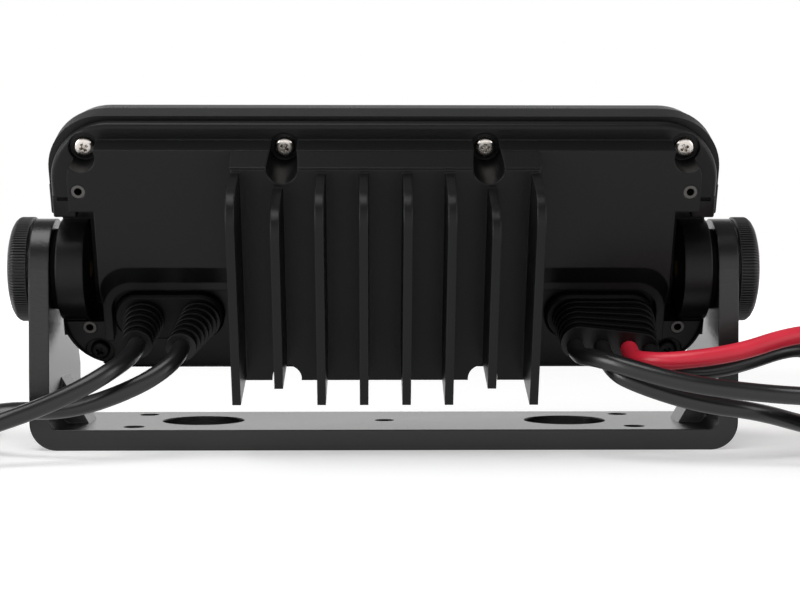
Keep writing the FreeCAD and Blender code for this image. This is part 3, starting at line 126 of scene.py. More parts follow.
# %% The coil's points
def coil_points(start, way, hand):
    """Points in from the edge in the upper layer, down, and out again below."""
    inward = Vector((-way.y * hand, way.x * hand, 0.0))
    entry = start + way * CORD_DIAMETER
    centre = entry + inward * COIL_RADIUS
    first = math.atan2(-inward.y, -inward.x)
    bulge = 2.0 / (1.0 + math.cos(math.pi / POINTS_PER_TURN))
    half_way = math.pi * COIL_TURNS
    points = [entry]
    for step in range(1, int(COIL_TURNS * POINTS_PER_TURN) + 1):
        turned = 2.0 * math.pi * step / POINTS_PER_TURN
        radius = COIL_RADIUS - COIL_PITCH * (half_way - abs(turned - half_way)) / (2.0 * math.pi)
        fallen = min(max((turned - half_way) / math.pi + 0.5, 0.0), 1.0)
        height = centre.z - COIL_LAYER * fallen * fallen * (3.0 - 2.0 * fallen)
        angle = first + hand * turned
        reach = radius * bulge
        x, y = centre.x + reach * math.cos(angle), centre.y + reach * math.sin(angle)
        points.append(Vector((x, y, height)))
    return points + [points[-1] - way * CORD_DIAMETER]


# %% Lay one cord
def lay_cord(name, hand, route):
    """The tube of one cord as a mesh, its centre line, and the way its far end points."""
    route = [Vector(point) for point in route]
    way = (route[-1] - route[-2]).normalized()
    points = [point * MM for point in route + coil_points(route[-1], way, hand)]
    line = bpy.data.curves.new(name + "_cord", "CURVE")
    line.dimensions = "3D"
    line.resolution_u = 5
    spline = line.splines.new("NURBS")
    spline.points.add(len(points) - 1)
    for control, point in zip(spline.points, points):
        control.co = (*point, 1.0)
    spline.order_u = 3
    spline.use_endpoint_u = True
    cord = bpy.data.objects.new(name + "_cord", line)
    bpy.context.scene.collection.objects.link(cord)
    centre = bpy.data.meshes.new_from_object(cord)
    path = [vertex.co.copy() for vertex in centre.vertices]
    bpy.data.meshes.remove(centre)
    line.bevel_depth = CORD_DIAMETER / 2.0 * MM
    line.bevel_resolution = 5
    line.use_fill_caps = True
    bpy.ops.object.select_all(action="DESELECT")
    cord.select_set(True)
    bpy.context.view_layer.objects.active = cord
    bpy.ops.object.convert(target="MESH")
    cord = bpy.context.object
    bpy.ops.object.shade_smooth()
    cord.select_set(False)
    return cord, path, way


# %% Lay all six
cords = {}
for cord_name, (winding, cord_route) in ROUTES.items():
    cord_tube, cord_path, cord_way = lay_cord(cord_name, winding, cord_route)
    cord_length = sum((b - a).length for a, b in zip(cord_path, cord_path[1:]))
    cords[cord_name] = (cord_tube, cord_path, cord_way, cord_length)
    print(cord_name, "length %.3f m," % cord_length, len(cord_tube.data.polygons), "faces")

# %% [markdown]
# ## Pieces that the solids leave plain
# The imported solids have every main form, but small things that the eye looks for are plain there:
# the cross in a screw's head, the fine knurl of a clamp knob, the tie round a coil. They are
# modelled here as by hand: a primitive is added, shaped in edit mode, and copied where it repeats.
# A piece of the head is drawn lying flat, x to the right, y up the head and z backwards, and then
# laid into the tilted head in one turn.

# %% Where the head stands
HEAD_TILT = math.radians(23.0)
PIVOT = Vector((0.0, -10.5, 52.5)) * MM
ON_HEAD = Matrix.Translation(PIVOT) @ Matrix.Rotation(math.pi / 2.0 + HEAD_TILT, 4, "X")
print("pivot", [round(v, 4) for v in PIVOT], "tilt", round(math.degrees(HEAD_TILT)))


# %% Small tools for modelling
def only(piece):
    """Selects one object and nothing else."""
    bpy.ops.object.select_all(action="DESELECT")
    piece.select_set(True)
    bpy.context.view_layer.objects.active = piece


def pick(piece, kind, test):
    """In edit mode, selects the faces, edges or verts whose middle and normal pass a test."""
    bpy.ops.mesh.select_mode(type=kind)
    bpy.ops.mesh.select_all(action="DESELECT")
    shape = bmesh.from_edit_mesh(piece.data)
    if kind == "FACE":
        chosen = [face for face in shape.faces if test(face.calc_center_median(), face.normal)]
    elif kind == "EDGE":
        chosen = [edge for edge in shape.edges if all(test(end.co, end.normal) for end in edge.verts)]
    else:
        chosen = [vert for vert in shape.verts if test(vert.co, vert.normal)]
    for item in chosen:
        item.select_set(True)
    bmesh.update_edit_mesh(piece.data)
    return len(chosen)


def lift(x, y, z):
    """Moves what is selected."""
    bpy.ops.transform.translate(value=(x * MM, y * MM, z * MM))


def settle(piece, name, place, body, smooth=35.0):
    """Names a finished piece, puts its place into its mesh and lets it ride on a body."""
    piece.name = name
    piece.data.name = name
    piece.matrix_world = place
    only(piece)
    bpy.ops.object.transform_apply(location=True, rotation=True, scale=True)
    bpy.ops.object.shade_smooth_by_angle(angle=math.radians(smooth))
    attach(piece, body)
    piece.select_set(False)
    return piece


def carve(piece, cutter):
    """Cuts one closed shape out of another and throws the cutter away."""
    only(piece)
    cut = piece.modifiers.new("cut", "BOOLEAN")
    cut.operation = "DIFFERENCE"
    cut.solver = "EXACT"
    cut.use_self = True
    cut.object = cutter
    bpy.ops.object.modifier_apply(modifier=cut.name)
    bpy.data.objects.remove(cutter)


def another(piece):
    """A copy of a piece with a mesh of its own."""
    twin = piece.copy()
    twin.data = piece.data.copy()
    bpy.context.scene.collection.objects.link(twin)
    return twin


print("tools ready")

# %% [markdown]
# ### Case screws
# Small nickel-plated pan heads with a cross recess. The head is a cylinder whose upper edge is
# bevelled to a dome, the cross is cut by two tapered blades, and the shank is drawn out of the
# underside. One screw is modelled and copied, each copy turned to another angle, because nobody
# lines screws up. The two in the lower corners sit in deep shade, so they get a near-black metal
# as painted shade.

# %% One screw
HEAD_RADIUS = 2.85
HEAD_HEIGHT = 2.0
HEAD_DOME = 1.1
SHANK_LENGTH = 8.6
bpy.ops.mesh.primitive_cylinder_add(vertices=40, radius=HEAD_RADIUS * MM, depth=HEAD_HEIGHT * MM,
                                    location=(0.0, 0.0, HEAD_HEIGHT / 2.0 * MM))
screw = bpy.context.object
bpy.ops.object.transform_apply(location=True)
bpy.ops.object.mode_set(mode="EDIT")
pick(screw, "EDGE", lambda place, normal: place.z > (HEAD_HEIGHT - 0.01) * MM)
bpy.ops.mesh.bevel(offset=HEAD_DOME * MM, segments=5, affect="EDGES")
pick(screw, "FACE", lambda place, normal: normal.z < -0.9)
bpy.ops.mesh.inset(thickness=1.6 * MM)
bpy.ops.mesh.extrude_region_move(TRANSFORM_OT_translate={"value": (0.0, 0.0, -SHANK_LENGTH * MM)})
bpy.ops.object.mode_set(mode="OBJECT")
bpy.ops.mesh.primitive_cube_add(size=2.0 * MM, location=(0.0, 0.0, HEAD_HEIGHT * MM))
blade = bpy.context.object
bpy.ops.object.transform_apply(location=True)
bpy.ops.object.mode_set(mode="EDIT")
bpy.ops.transform.resize(value=(1.85, 0.5, 1.3), center_override=(0.0, 0.0, HEAD_HEIGHT * MM))
pick(blade, "FACE", lambda place, normal: normal.z < -0.9)
bpy.ops.transform.resize(value=(0.35, 0.6, 1.0), center_override=(0.0, 0.0, 0.0))
bpy.ops.mesh.select_all(action="SELECT")
bpy.ops.mesh.duplicate()
bpy.ops.transform.rotate(value=math.pi / 2.0, orient_axis="Z", center_override=(0.0, 0.0, 0.0))
bpy.ops.object.mode_set(mode="OBJECT")
carve(screw, blade)
print("screw:", len(screw.data.polygons), "faces")

# %% Eight of them
SCREW_SEAT = 7.2
SCREW_PLACES = [(x, y) for y in (41.5, -23.0) for x in (-85.1, -28.4, 28.4, 85.1)]
case_screws = []
for number, (x, y) in enumerate(SCREW_PLACES):
    turned = Matrix.Rotation(0.5 + 2.1 * number, 4, "Z")
    seat = Matrix.Translation(Vector((x, y, SCREW_SEAT)) * MM)
    name = "case_screw_%d" % (number + 1)
    case_screws.append(settle(another(screw), name, ON_HEAD @ seat @ turned, "head"))
bpy.data.objects.remove(screw)
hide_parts("case_screws")
print(len(case_screws), "case screws")

# %% [markdown]
# ### Clamp knobs
# A clamp knob is turned by a wet hand, so its rim has a fine straight knurl, over a hundred ridges
# with sharp valleys that run out on the domed end. A ring of vertices, four to each ridge, is
# extruded and scaled step by step to the knob's profile, and then every other pair in the rim is
# drawn inwards.

# %% The knob's profile
RIDGES = 112
KNOB_FOOT = 14.9
KNOB_RADIUS = 15.5
VALLEY_DEPTH = 0.6
VALLEY_FOOT, VALLEY_TOP = 0.9, 5.9
VALLEY_LEAST_RADIUS = 14.0
KNOB_PROFILE = ((0.35, 15.5), (0.15, 15.5), (3.4, 15.5), (0.5, 15.3), (0.7, 14.7), (0.65, 13.6),
                (0.55, 11.9), (0.4, 9.7), (0.2, 7.4))
bpy.ops.mesh.primitive_circle_add(vertices=4 * RIDGES, radius=KNOB_FOOT * MM, fill_type="NGON",
                                  location=(0.0, 0.0, 0.5 * MM))
knob = bpy.context.object
bpy.ops.object.transform_apply(location=True)
bpy.ops.object.mode_set(mode="EDIT")
bpy.ops.mesh.select_all(action="SELECT")
radius = KNOB_FOOT
for rise, reach in KNOB_PROFILE:
    bpy.ops.mesh.extrude_region_move(TRANSFORM_OT_translate={"value": (0.0, 0.0, rise * MM)})
    wider = reach / radius
    bpy.ops.transform.resize(value=(wider, wider, 1.0), center_override=(0.0, 0.0, 0.0))
    radius = reach
bpy.ops.mesh.inset(thickness=0.5 * MM)
lift(0.0, 0.0, -0.2)
pick(knob, "FACE", lambda place, normal: abs(normal.z) > 0.9 and place.z < 0.6 * MM)
bpy.ops.mesh.inset(thickness=5.1 * MM)
lift(0.0, 0.0, 0.55)
print("profile of", len(KNOB_PROFILE), "steps")


# %% Its ridges
def in_a_valley(place, normal):
    """Two of every four vertices round the rim."""
    step = int(round(math.atan2(place.y, place.x) / (2.0 * math.pi) * 4 * RIDGES)) % 4
    high_enough = VALLEY_FOOT * MM < place.z < VALLEY_TOP * MM
    return step < 2 and high_enough and place.xy.length > VALLEY_LEAST_RADIUS * MM


pick(knob, "VERT", in_a_valley)
shrink = (KNOB_RADIUS - VALLEY_DEPTH) / KNOB_RADIUS
bpy.ops.transform.resize(value=(shrink, shrink, 1.0), center_override=(0.0, 0.0, 0.0))
bpy.ops.mesh.select_all(action="SELECT")
bpy.ops.mesh.normals_make_consistent(inside=False)
bpy.ops.object.mode_set(mode="OBJECT")
print("knob:", len(knob.data.polygons), "faces")

# %% Left and right knob
ARM_OUTSIDE = 103.0
clamp_knobs = []
for side, name in ((-1.0, "left"), (1.0, "right")):
    beside = Matrix.Translation(PIVOT + Vector((side * ARM_OUTSIDE, 0.0, 0.0)) * MM)
    seat = beside @ Matrix.Rotation(side * math.pi / 2.0, 4, "Y")
    one = settle(another(knob), name + "_knurled_knob", seat, name + "_knob", 25.0)
    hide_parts(name + "_clamp_knob")
    clamp_knobs.append(one)
bpy.data.objects.remove(knob)
print(len(clamp_knobs), "clamp knobs")

# %% [markdown]
# ### Rim blocks over the arms
# On the real head the flange, the case and the bezel run down to just above the bracket's arms.
# The solids stop a little higher, so six small blocks with soft edges continue them. A wedge over
# the finned block makes one slope of its top and the panels' top, with the two screw pockets cut out.

# %% A block
def block(low, high, edge):
    """A block between two corners in millimetres, with soft edges except those of its top."""
    low, high = Vector(low) * MM, Vector(high) * MM
    bpy.ops.mesh.primitive_cube_add(size=1.0, location=(low + high) / 2.0)
    piece = bpy.context.object
    piece.scale = high - low
    bpy.ops.object.transform_apply(location=True, scale=True)
    if edge:
        bpy.ops.object.mode_set(mode="EDIT")
        bpy.ops.mesh.select_all(action="DESELECT")
        shape = bmesh.from_edit_mesh(piece.data)
        for side_edge in shape.edges:
            side_edge.select_set(min(end.co.y for end in side_edge.verts) < high.y - 0.1 * MM)
        bmesh.update_edit_mesh(piece.data)
        bpy.ops.mesh.bevel(offset=edge * MM, segments=3, affect="EDGES")
        bpy.ops.object.mode_set(mode="OBJECT")
    return piece


print("block ready")

# %% Six ends of the rim
RIM_INNER = 88.6
RIM_FOOT = 20.2
RIM_PARTS = (("flange", 95.3, 26.6, 9.2, 6.5, "cast_black"),
             ("case", 96.45, 29.0, 6.2, -2.2, "case_plastic"),
             ("bezel", 95.1, 29.0, -2.3, -8.6, "case_plastic"))
rim_blocks = {}
for side, name in ((-1.0, "left"), (1.0, "right")):
    for part, outer, top, back, front, slot in RIM_PARTS:
        x_low, x_high = sorted((side * RIM_INNER, side * outer))
        piece = block((x_low, RIM_FOOT, front), (x_high, top, back), 0.6)
        piece = settle(piece, "%s_%s_end" % (name, part), ON_HEAD, "head")
        rim_blocks[name + "_" + part] = piece
print(len(rim_blocks), "ends of the rim")

# %% The wedge over the block
wedge = block((-42.8, 41.6, 17.4), (42.8, 43.75, 26.4), 0.0)
bpy.ops.object.mode_set(mode="EDIT")
pick(wedge, "VERT", lambda place, normal: place.y > 43.0 * MM and place.z > 26.0 * MM)
lift(0.0, -1.9, 0.0)
bpy.ops.object.mode_set(mode="OBJECT")
for x in (-28.4, 28.4):
    bpy.ops.mesh.primitive_cylinder_add(vertices=64, radius=4.3 * MM, depth=20.0 * MM,
                                        location=Vector((x, 41.5, 22.0)) * MM)
    carve(wedge, bpy.context.object)
wedge = settle(wedge, "block_shoulder", ON_HEAD, "head")
print("wedge:", len(wedge.data.polygons), "faces")

# %% [markdown]
# ### Ties and bare ends
# The length that isn't needed is put away in coils, each held by a flat tie: a loop of four walls
# with round corners that gets its thickness from a modifier. The cables come without plugs, so each
# ends in a little of its stripped core and its tinned wire.

# %% Where the ties go
def coil_centre(hand, route):
    """The middle of a coil on the floor, in millimetres."""
    end, before = Vector(route[-1]), Vector(route[-2])
    way = (end - before).normalized()
    return end + way * CORD_DIAMETER + Vector((-way.y * hand, way.x * hand, 0.0)) * COIL_RADIUS


TIES = {"outer_left": (0.6, 10.9), "inner_left": (2.2, 10.9), "second_black": (-0.6, 22.1),
        "third_black": (0.9, 22.1)}
print(len(TIES), "places")

# %% Ties
TIE_INNER, TIE_OUTER = 17.3, 30.6
TIE_HALF_WIDTH = 2.2
TIE_WALL = 0.6
TIE_FOOT = -0.2
coil_ties = {}
for cord_name, (angle, top) in TIES.items():
    winding, cord_route = ROUTES[cord_name]
    middle = coil_centre(winding, cord_route)
    tie = block((TIE_INNER, -TIE_HALF_WIDTH, TIE_FOOT), (TIE_OUTER, TIE_HALF_WIDTH, top), 0.0)
    bpy.ops.object.mode_set(mode="EDIT")
    pick(tie, "FACE", lambda place, normal: abs(normal.y) > 0.9)
    bpy.ops.mesh.delete(type="ONLY_FACE")
    bpy.ops.mesh.select_mode(type="EDGE")
    bpy.ops.mesh.select_all(action="DESELECT")
    shape = bmesh.from_edit_mesh(tie.data)
    for edge in shape.edges:
        edge.select_set(abs(edge.verts[0].co.y - edge.verts[1].co.y) > MM)
    bmesh.update_edit_mesh(tie.data)
    bpy.ops.mesh.bevel(offset=2.6 * MM, segments=4, affect="EDGES")
    bpy.ops.object.mode_set(mode="OBJECT")
    wall = tie.modifiers.new("wall", "SOLIDIFY")
    wall.thickness = TIE_WALL * MM
    wall.offset = 1.0
    only(tie)
    bpy.ops.object.modifier_apply(modifier=wall.name)
    on_floor = Matrix.Translation(Vector((middle.x, middle.y, 0.0)) * MM)
    seat = on_floor @ Matrix.Rotation(angle, 4, "Z")
    coil_ties[cord_name] = settle(tie, cord_name + "_tie", seat, "base")
print(len(coil_ties), "ties")

# %% Bare ends
CORE_RADIUS, CORE_LENGTH = 1.7, 3.0
WIRE_RADIUS, WIRE_LENGTH = 0.8, 3.5
bare_ends = {}
for cord_name, (cord_tube, cord_path, cord_way, cord_length) in cords.items():
    bpy.ops.mesh.primitive_cylinder_add(vertices=20, radius=CORE_RADIUS * MM, depth=CORE_LENGTH * MM,
                                        location=(0.0, 0.0, CORE_LENGTH / 2.0 * MM))
    end = bpy.context.object
    bpy.ops.object.transform_apply(location=True)
    bpy.ops.object.mode_set(mode="EDIT")
    pick(end, "FACE", lambda place, normal: normal.z > 0.9)
    bpy.ops.mesh.inset(thickness=(CORE_RADIUS - WIRE_RADIUS) * MM)
    bpy.ops.mesh.extrude_region_move(TRANSFORM_OT_translate={"value": (0.0, 0.0, WIRE_LENGTH * MM)})
    bpy.ops.mesh.bevel(offset=0.25 * MM, segments=2, affect="EDGES")
    bpy.ops.object.mode_set(mode="OBJECT")
    outwards = (cord_path[-1] - cord_path[-2]).to_track_quat("Z", "Y").to_matrix().to_4x4()
    seat = Matrix.Translation(cord_path[-1]) @ outwards
    bare_ends[cord_name] = settle(end, cord_name + "_end", seat, "base")
print(len(bare_ends), "bare ends")

# %% [markdown]
# ### Cords in place
# When the head tilts, a real cord can't stay rigid. Here each cord's tube keeps the shape it was
# laid in: its place is put into its mesh, and the model's own lead and coil are hidden.

# %% Cords keep the shape they were laid in; the model's own leads and coils are hidden
for cord_name, (cord_tube, cord_path, cord_way, cord_length) in cords.items():
    side = "left" if cord_path[0].x < 0.0 else "right"
    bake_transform(cord_tube)
    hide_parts(cord_name + "_lead", cord_name + "_coil")
    "red_sheath" if cord_name == "red" else "black_sheath"

# %% [markdown]
# ## A small language for materials
# A material is a network of nodes. Written out node by node it takes many lines, so one small
# class holds a node's output and lets plain sums such as `1 - mask * 0.5` add the Math nodes.
# Everything reads Object coordinates, in metres, so a scale of 1000 means one feature a millimetre.

# %% Socket wrapper
class Flow:
    """An output of a node. Sums with numbers or other outputs add Math nodes."""

    def __init__(self, tree, socket):
        self.tree = tree
        self.socket = socket

    def join(self, kind, first, second):
        math_node = self.tree.nodes.new("ShaderNodeMath")
        math_node.operation = kind
        for target, value in zip(math_node.inputs, (first, second)):
            join_up(self.tree, target, value)
        return Flow(self.tree, math_node.outputs[0])

    def __add__(self, other):
        return self.join("ADD", self, other)

    def __sub__(self, other):
        return self.join("SUBTRACT", self, other)

    def __rsub__(self, other):
        return self.join("SUBTRACT", other, self)

    def __mul__(self, other):
        return self.join("MULTIPLY", self, other)

    def __truediv__(self, other):
        return self.join("DIVIDE", self, other)

    def at_least(self, level):
        return self.join("MAXIMUM", self, level)

    def at_most(self, level):
        return self.join("MINIMUM", self, level)

    __radd__ = __add__


def join_up(tree, target, value):
    """Links an output to a socket, or sets the socket's own value."""
    if isinstance(value, Flow):
        tree.links.new(value.socket, target)
    else:
        target.default_value = value


print("sums of sockets ready")


# %% Material maker
class Finish:
    """A material with its main shader, and one method that adds any other node."""

    def __init__(self, name, **constants):
        self.material = bpy.data.materials.new(name)
        self.material.use_nodes = True
        self.tree = self.material.node_tree
        self.shader = self.tree.nodes["Principled BSDF"]
        for key, value in constants.items():
            self.shader.inputs[key.replace("_", " ")].default_value = value
        self.place = self.node("TexCoord", output="Object")

    def node(self, kind, settings=None, output=0, feeds=(), **values):
        """Adds a node. Sockets that share a name are filled in their order through feeds."""
        made = self.tree.nodes.new("ShaderNode" + kind)
        for key, value in (settings or {}).items():
            setattr(made, key, value)
        for target, value in zip(made.inputs, feeds):
            join_up(self.tree, target, value)
        for key, value in values.items():
            join_up(self.tree, made.inputs[key.replace("_", " ")], value)
        return Flow(self.tree, made.outputs[output])

    def feed(self, **values):
        """Links outputs to the main shader."""
        for key, value in values.items():
            self.tree.links.new(value.socket, self.shader.inputs[key.replace("_", " ")])

    def noise(self, scale, detail=2.0, rough=0.5):
        """Even grain from 0 to 1."""
        return self.node("TexNoise", Vector=self.place, Scale=scale, Detail=detail, Roughness=rough)

    def blend(self, factor, first, second):
        """A colour between two colours."""
        mix = self.tree.nodes.new("ShaderNodeMix")
        mix.data_type = "RGBA"
        for target, value in ((mix.inputs[0], factor), (mix.inputs[6], first), (mix.inputs[7], second)):
            join_up(self.tree, target, (*value, 1.0) if isinstance(value, tuple) else value)
        return Flow(self.tree, mix.outputs[2])

    def rounded(self, radius, samples):
        """Normals as if every edge had that small radius."""
        return self.node("Bevel", {"samples": samples}, Radius=radius)

    def edge_share(self, soft):
        """How much of an edge a place is, from its rounded and its plain normal."""
        plain = self.node("NewGeometry", output="Normal")
        alike = self.node("VectorMath", {"operation": "DOT_PRODUCT"}, "Value", (soft, plain))
        return (1.0 - alike) * 3.0


def tinted(colour, share):
    """A colour made lighter or darker."""
    return tuple(channel * share for channel in colour)


print("material maker ready")

# %% [markdown]
# ## Painted castings
# The bracket and the back of the head are cast aluminium with a semi-matt black paint. Paint has
# three scales: it is slightly uneven over centimetres, it has an orange peel of about a
# millimetre, and under light it shows a fine grain. On edges it runs thin, and the edges are painted
# lighter: partly that wear, partly a painted highlight where the rounded edges catch the light.

# %% Paint
PAINT_RADIUS = 0.0007


def casting_paint(name, colour, roughness, gloss):
    paint = Finish(name, Specular_IOR_Level=gloss)
    uneven = paint.noise(22.0, 3.0)
    peel = paint.noise(900.0, 2.0)
    grain = paint.noise(4200.0, 3.0, 0.6)
    soft = paint.rounded(PAINT_RADIUS, 6)
    # Edges lighter in colour: partly paint worn thin, partly a painted highlight where edges catch the
    # light.
    wear_and_edge_highlight = (paint.edge_share(soft) * 0.5).at_most(1.0)
    shade = paint.blend(uneven, colour, tinted(colour, 1.35))
    light = tuple(channel * 2.6 + 0.01 for channel in colour)
    paint.feed(Base_Color=paint.blend(wear_and_edge_highlight, shade, light))
    paint.feed(Roughness=roughness - 0.05 + uneven * 0.06 + grain * 0.08 - wear_and_edge_highlight * 0.06)
    fine = paint.node("Bump", Strength=0.35, Distance=0.00006, Height=grain, Normal=soft)
    wavy = paint.node("Bump", Strength=0.3, Distance=0.00012, Height=peel, Normal=fine)
    paint.feed(Normal=wavy)
    return paint.material


bracket_paint = casting_paint("bracket_paint", (0.0078, 0.0073, 0.0076), 0.23, 0.5)
housing_paint = casting_paint("housing_paint", (0.0055, 0.0055, 0.0058), 0.31, 0.21)
print("paint made")

# %% [markdown]
# ## Plastics and rubber
# The front case, the bezel and the knobs are moulded from black plastic with a spark-eroded
# grain, coarser than the paint's. Boots, keys and seal are rubber: softer, more matt, and never
# quite clean. Cords have a smoother sheath than boots.

# %% Along the head
REARWARD = Vector((0.0, -math.cos(HEAD_TILT), -math.sin(HEAD_TILT)))


def behind_pivot(plastic):
    """How far a place lies behind the pivot along the tilted head, in millimetres."""
    along = plastic.node("VectorMath", {"operation": "DOT_PRODUCT"}, "Value", (plastic.place, REARWARD))
    return (along - REARWARD.dot(PIVOT)) / MM


print("rearward", [round(v, 3) for v in REARWARD])

# %% Moulded surfaces
CROWN_START = 3.4
CROWN_RISE = 0.45


def moulded(name, colour, roughness, scale, depth, gloss=0.5, ribs=0.0, crown=0.0):
    """Grained plastic or rubber. Ribs are fine lines round the side, crown rounds it to the eye."""
    plastic = Finish(name, Specular_IOR_Level=gloss)
    pits = plastic.noise(scale, 3.0, 0.55)
    cloud = plastic.noise(35.0, 2.0)
    soft = plastic.rounded(0.0003, 4)
    shade = plastic.blend(cloud * 0.6 + pits * 0.4, tinted(colour, 0.8), tinted(colour, 1.3))
    plastic.feed(Base_Color=shade)
    plastic.feed(Roughness=roughness + cloud * 0.08 - 0.04 + pits * 0.06)
    if crown:
        share = (behind_pivot(plastic) + CROWN_START) * -CROWN_RISE
        share = share.at_least(0.0).at_most(1.0) * crown
        turned = plastic.node("VectorMath", {"operation": "SCALE"}, feeds=(-REARWARD,), Scale=share)
        bent = plastic.node("VectorMath", {"operation": "ADD"}, feeds=(soft, turned))
        soft = plastic.node("VectorMath", {"operation": "NORMALIZE"}, feeds=(bent,))
    normal = plastic.node("Bump", Strength=0.6, Distance=depth, Height=pits, Normal=soft)
    if ribs:
        phase = behind_pivot(plastic) * (2.0 * math.pi / ribs)
        wave = plastic.node("Math", {"operation": "SINE"}, feeds=(phase,))
        normal = plastic.node("Bump", Strength=0.7, Distance=0.00009, Height=wave, Normal=normal)
    plastic.feed(Normal=normal)
    return plastic.material


print("moulding ready")

# %% Plastics and rubbers
case_plastic = moulded("case_plastic", (0.005, 0.005, 0.0055), 0.45, 2200.0, 0.00010,
                       gloss=0.3, ribs=0.85)
bezel_plastic = moulded("bezel_plastic", (0.007, 0.007, 0.0075), 0.25, 2600.0, 0.00003,
                        gloss=0.7, crown=0.42)
knob_plastic = moulded("knob_plastic", (0.011, 0.011, 0.012), 0.32, 2600.0, 0.00005, gloss=0.6)
boot_rubber = moulded("boot_rubber", (0.0035, 0.0035, 0.0035), 0.3, 1500.0, 0.00003, gloss=0.3)
seal_rubber = moulded("seal_rubber", (0.005, 0.005, 0.005), 0.7, 1500.0, 0.00003, gloss=0.1)
key_rubber = moulded("key_rubber", (0.030, 0.031, 0.033), 0.6, 1800.0, 0.00003)
gland_plastic = moulded("gland_plastic", (0.005, 0.005, 0.005), 0.45, 1800.0, 0.00005, gloss=0.2)
chip_black = moulded("chip_black", (0.02, 0.02, 0.02), 0.5, 1600.0, 0.00003)
board_green = moulded("board_green", (0.012, 0.08, 0.035), 0.4, 700.0, 0.00004)
print("plastics and rubbers made")


# %% Cord sheath
def sheath(name, colour, roughness):
    """Smooth extruded sheath: faint flow lines round it and a few dull places."""
    cover = Finish(name, Specular_IOR_Level=0.5)
    cloud = cover.noise(60.0, 3.0)
    fine = cover.noise(1800.0, 2.0)
    cover.feed(Base_Color=cover.blend(cloud, tinted(colour, 0.85), tinted(colour, 1.2)))
    cover.feed(Roughness=roughness + cloud * 0.14 - 0.07)
    cover.feed(Normal=cover.node("Bump", Strength=0.25, Distance=0.00004, Height=fine))
    return cover.material


black_sheath = sheath("black_sheath", (0.010, 0.010, 0.011), 0.30)
red_sheath = sheath("red_sheath", (0.72, 0.022, 0.050), 0.38)
print("sheaths made")

# %% [markdown]
# ## Metals and glass
# Screws, studs and washers are bare metal: the colour lies in the reflection, so the shader is
# fully metallic and the roughness does the work. The front window is smoked glass, almost black,
# with a clear coat over it.


# %% Metals
def metal(name, colour, roughness, scratch):
    bare = Finish(name, Metallic=1.0)
    cloud = bare.noise(400.0, 3.0)
    fine = bare.noise(5200.0, 2.0)
    soft = bare.rounded(0.00015, 4)
    bare.feed(Base_Color=bare.blend(cloud, tinted(colour, 0.8), colour))
    bare.feed(Roughness=roughness + cloud * 0.12 + fine * scratch)
    bare.feed(Normal=bare.node("Bump", Strength=0.2, Distance=0.00003, Height=fine, Normal=soft))
    return bare.material


nickel = metal("nickel", (0.78, 0.73, 0.68), 0.16, 0.08)
brass = metal("brass", (0.80, 0.52, 0.18), 0.3, 0.08)
worn_steel = metal("worn_steel", (0.12, 0.115, 0.11), 0.34, 0.14)
zinc = metal("zinc", (0.56, 0.57, 0.58), 0.3, 0.1)
# Near-black metal as painted shade, standing in for the deep shadow over the two lower corner screws.
painted_shade_metal = metal("painted_shade_steel", (0.02, 0.02, 0.021), 0.4, 0.1)
print("metals made")


# %% Smoked glass
def smoked_glass(name):
    pane = Finish(name, Roughness=0.06, Coat_Weight=0.5, Coat_Roughness=0.03)
    cloud = pane.noise(25.0, 2.0)
    pane.feed(Base_Color=pane.blend(cloud, (0.004, 0.005, 0.007), (0.008, 0.009, 0.012)))
    return pane.material


lens_glass = smoked_glass("lens_glass")
print("glass made")

# %% [markdown]
# ## Dressing the parts
# One table says what each solid is made of. What isn't in it is a cable. The pieces that were
# modelled here get their finish group by group.

# %% The table
FINISH_OF = {
    "bracket": bracket_paint, "rear_housing": housing_paint, "front_case": case_plastic,
    "front_bezel": bezel_plastic, "case_seal": seal_rubber, "display_lens": lens_glass,
    "display_module": chip_black, "control_board": board_green, "main_board": board_green,
    "key_switches": chip_black, "encoder": zinc, "encoder_shaft": zinc, "push_sensor": zinc,
    "volume_knob": knob_plastic, "amplifier_chips": chip_black, "board_screws": nickel,
    "case_screws": nickel, "mounting_inserts": worn_steel, "pivot_washers": seal_rubber,
    "left_clamp_washer": zinc, "right_clamp_washer": zinc, "left_clamp_stud": brass,
    "right_clamp_stud": brass, "left_clamp_knob": knob_plastic, "right_clamp_knob": knob_plastic,
    "left_gland_plate": gland_plastic, "right_gland_plate": gland_plastic,
    "outer_left_boot": boot_rubber, "inner_left_boot": boot_rubber, "right_cable_boot": boot_rubber,
}
for key_number in range(1, 7):
    FINISH_OF["key_%d" % key_number] = key_rubber
print(len(FINISH_OF), "rows")


# %% Give every solid its finish
def dress(piece, finish):
    """One material on the whole piece."""
    piece.data.materials.clear()
    piece.data.materials.append(finish)


for node_name, node in nodes.items():
    dress(node, FINISH_OF.get(node_name, black_sheath))
print(len(nodes), "solids dressed")

# %% Give every piece its finish
RIM_FINISH = {"flange": housing_paint, "case": case_plastic, "bezel": bezel_plastic}
for cord_name, (cord_tube, cord_path, cord_way, cord_length) in cords.items():
    dress(cord_tube, red_sheath if cord_name == "red" else black_sheath)
for number, one in enumerate(case_screws):
    # The two lower corner screws get the near-black metal as painted shade.
    dress(one, painted_shade_metal if number in (4, 7) else nickel)
for one in clamp_knobs:
    dress(one, knob_plastic)
for name, one in rim_blocks.items():
    dress(one, RIM_FINISH[name.split("_")[1]])
dress(wedge, housing_paint)
for one in coil_ties.values():
    dress(one, seal_rubber)
for one in bare_ends.values():
    dress(one, brass)
print("pieces dressed")

# %% [markdown]
# ## Floor and light
# The photograph is a plain product picture: white all round, soft light from above and both
# sides, hardly a shadow. The floor and the world look white to the camera and to reflections,
# while what they add to the light on the object stays low, so black paint stays black.

# %% Floor
bpy.ops.mesh.primitive_plane_add(size=12.0, location=(0.0, 0.0, 0.0))
floor = bpy.context.object
floor.name = "floor"
bpy.ops.object.mode_set(mode="EDIT")
bpy.ops.mesh.subdivide(number_cuts=3)
bpy.ops.object.mode_set(mode="OBJECT")
floor.select_set(False)
print("floor", [round(v, 1) for v in floor.dimensions])


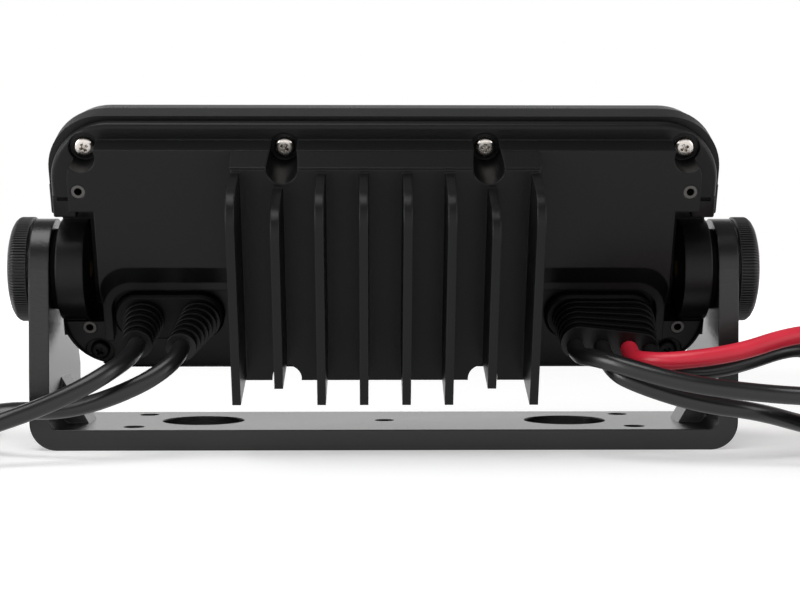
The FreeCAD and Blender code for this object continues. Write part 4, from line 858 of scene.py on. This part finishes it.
# %% The floor's white
def seen_directly(tree):
    """1 for what the camera sees, also in a mirror or through glass, and 0 for light that spreads."""
    rays = tree.nodes.new("ShaderNodeLightPath")
    seen = Flow(tree, rays.outputs["Is Camera Ray"]).at_least(Flow(tree, rays.outputs["Is Glossy Ray"]))
    return seen.at_least(Flow(tree, rays.outputs["Is Transmission Ray"]))


FLOOR_GLOW = 0.42
GLOW_FROM = 0.3
GLOW_RISE = 2.2
pale = Finish("floor_white", Roughness=0.9, Emission_Strength=1.0, Specular_IOR_Level=0.0)
pale.feed(Base_Color=pale.blend(pale.noise(6.0), (0.70, 0.70, 0.70), (0.73, 0.73, 0.73)))
reach = pale.node("VectorMath", {"operation": "LENGTH"}, "Value", (pale.place,))
far = ((reach - GLOW_FROM) * GLOW_RISE).at_least(0.0).at_most(1.0)
glow = FLOOR_GLOW + far * (1.0 - FLOOR_GLOW)
pale.feed(Emission_Color=seen_directly(pale.tree) * glow)
floor.data.materials.append(pale.material)
print("floor glows", FLOOR_GLOW, "near the object and 1 far away")

# %% World
WORLD_LIGHT = 0.36
CEILING = 0.16
CEILING_FROM = 0.34
CEILING_RISE = 3.3
world = bpy.data.worlds.new("studio")
bpy.context.scene.world = world
world.use_nodes = True
sky = world.node_tree
background = sky.nodes["Background"]
background.inputs["Color"].default_value = (1.0, 1.0, 1.0, 1.0)
way_out = sky.nodes.new("ShaderNodeTexCoord")
split = sky.nodes.new("ShaderNodeSeparateXYZ")
sky.links.new(way_out.outputs["Generated"], split.inputs[0])
raised = (Flow(sky, split.outputs[2]) - CEILING_FROM) * CEILING_RISE
raised = raised.at_least(0.0).at_most(1.0)
rays = sky.nodes.new("ShaderNodeLightPath")
camera_ray = Flow(sky, rays.outputs["Is Camera Ray"])
backdrop = 1.0 - raised * (1.0 - CEILING) * (1.0 - camera_ray)
seen = seen_directly(sky)
join_up(sky, background.inputs["Strength"], seen * backdrop + (1.0 - seen) * WORLD_LIGHT)
print("world lights at", WORLD_LIGHT)

# %% [markdown]
# ### Lamps
# Three large soft boxes give the long even reflections on black paint: a broad one above and
# behind the camera's left shoulder, and one at each side. The left one is the stronger.


# %% Lamps
def softbox(name, place, aim, width, height, watts):
    lamp = bpy.data.lights.new(name, "AREA")
    lamp.shape = "RECTANGLE"
    lamp.size = width
    lamp.size_y = height
    lamp.energy = watts
    holder = bpy.data.objects.new(name, lamp)
    holder.location = place
    holder.rotation_euler = (Vector(aim) - Vector(place)).to_track_quat("-Z", "Y").to_euler()
    bpy.context.scene.collection.objects.link(holder)
    return holder


CENTRE = (0.0, 0.0, 0.06)
softbox("top_box", (-0.25, -0.25, 1.1), CENTRE, 0.9, 0.5, 5.5)
softbox("left_box", (-1.1, -0.5, 0.4), CENTRE, 0.5, 0.9, 7.5)
softbox("right_box", (1.1, -0.5, 0.35), CENTRE, 0.5, 0.9, 3.0)
print("three lamps")
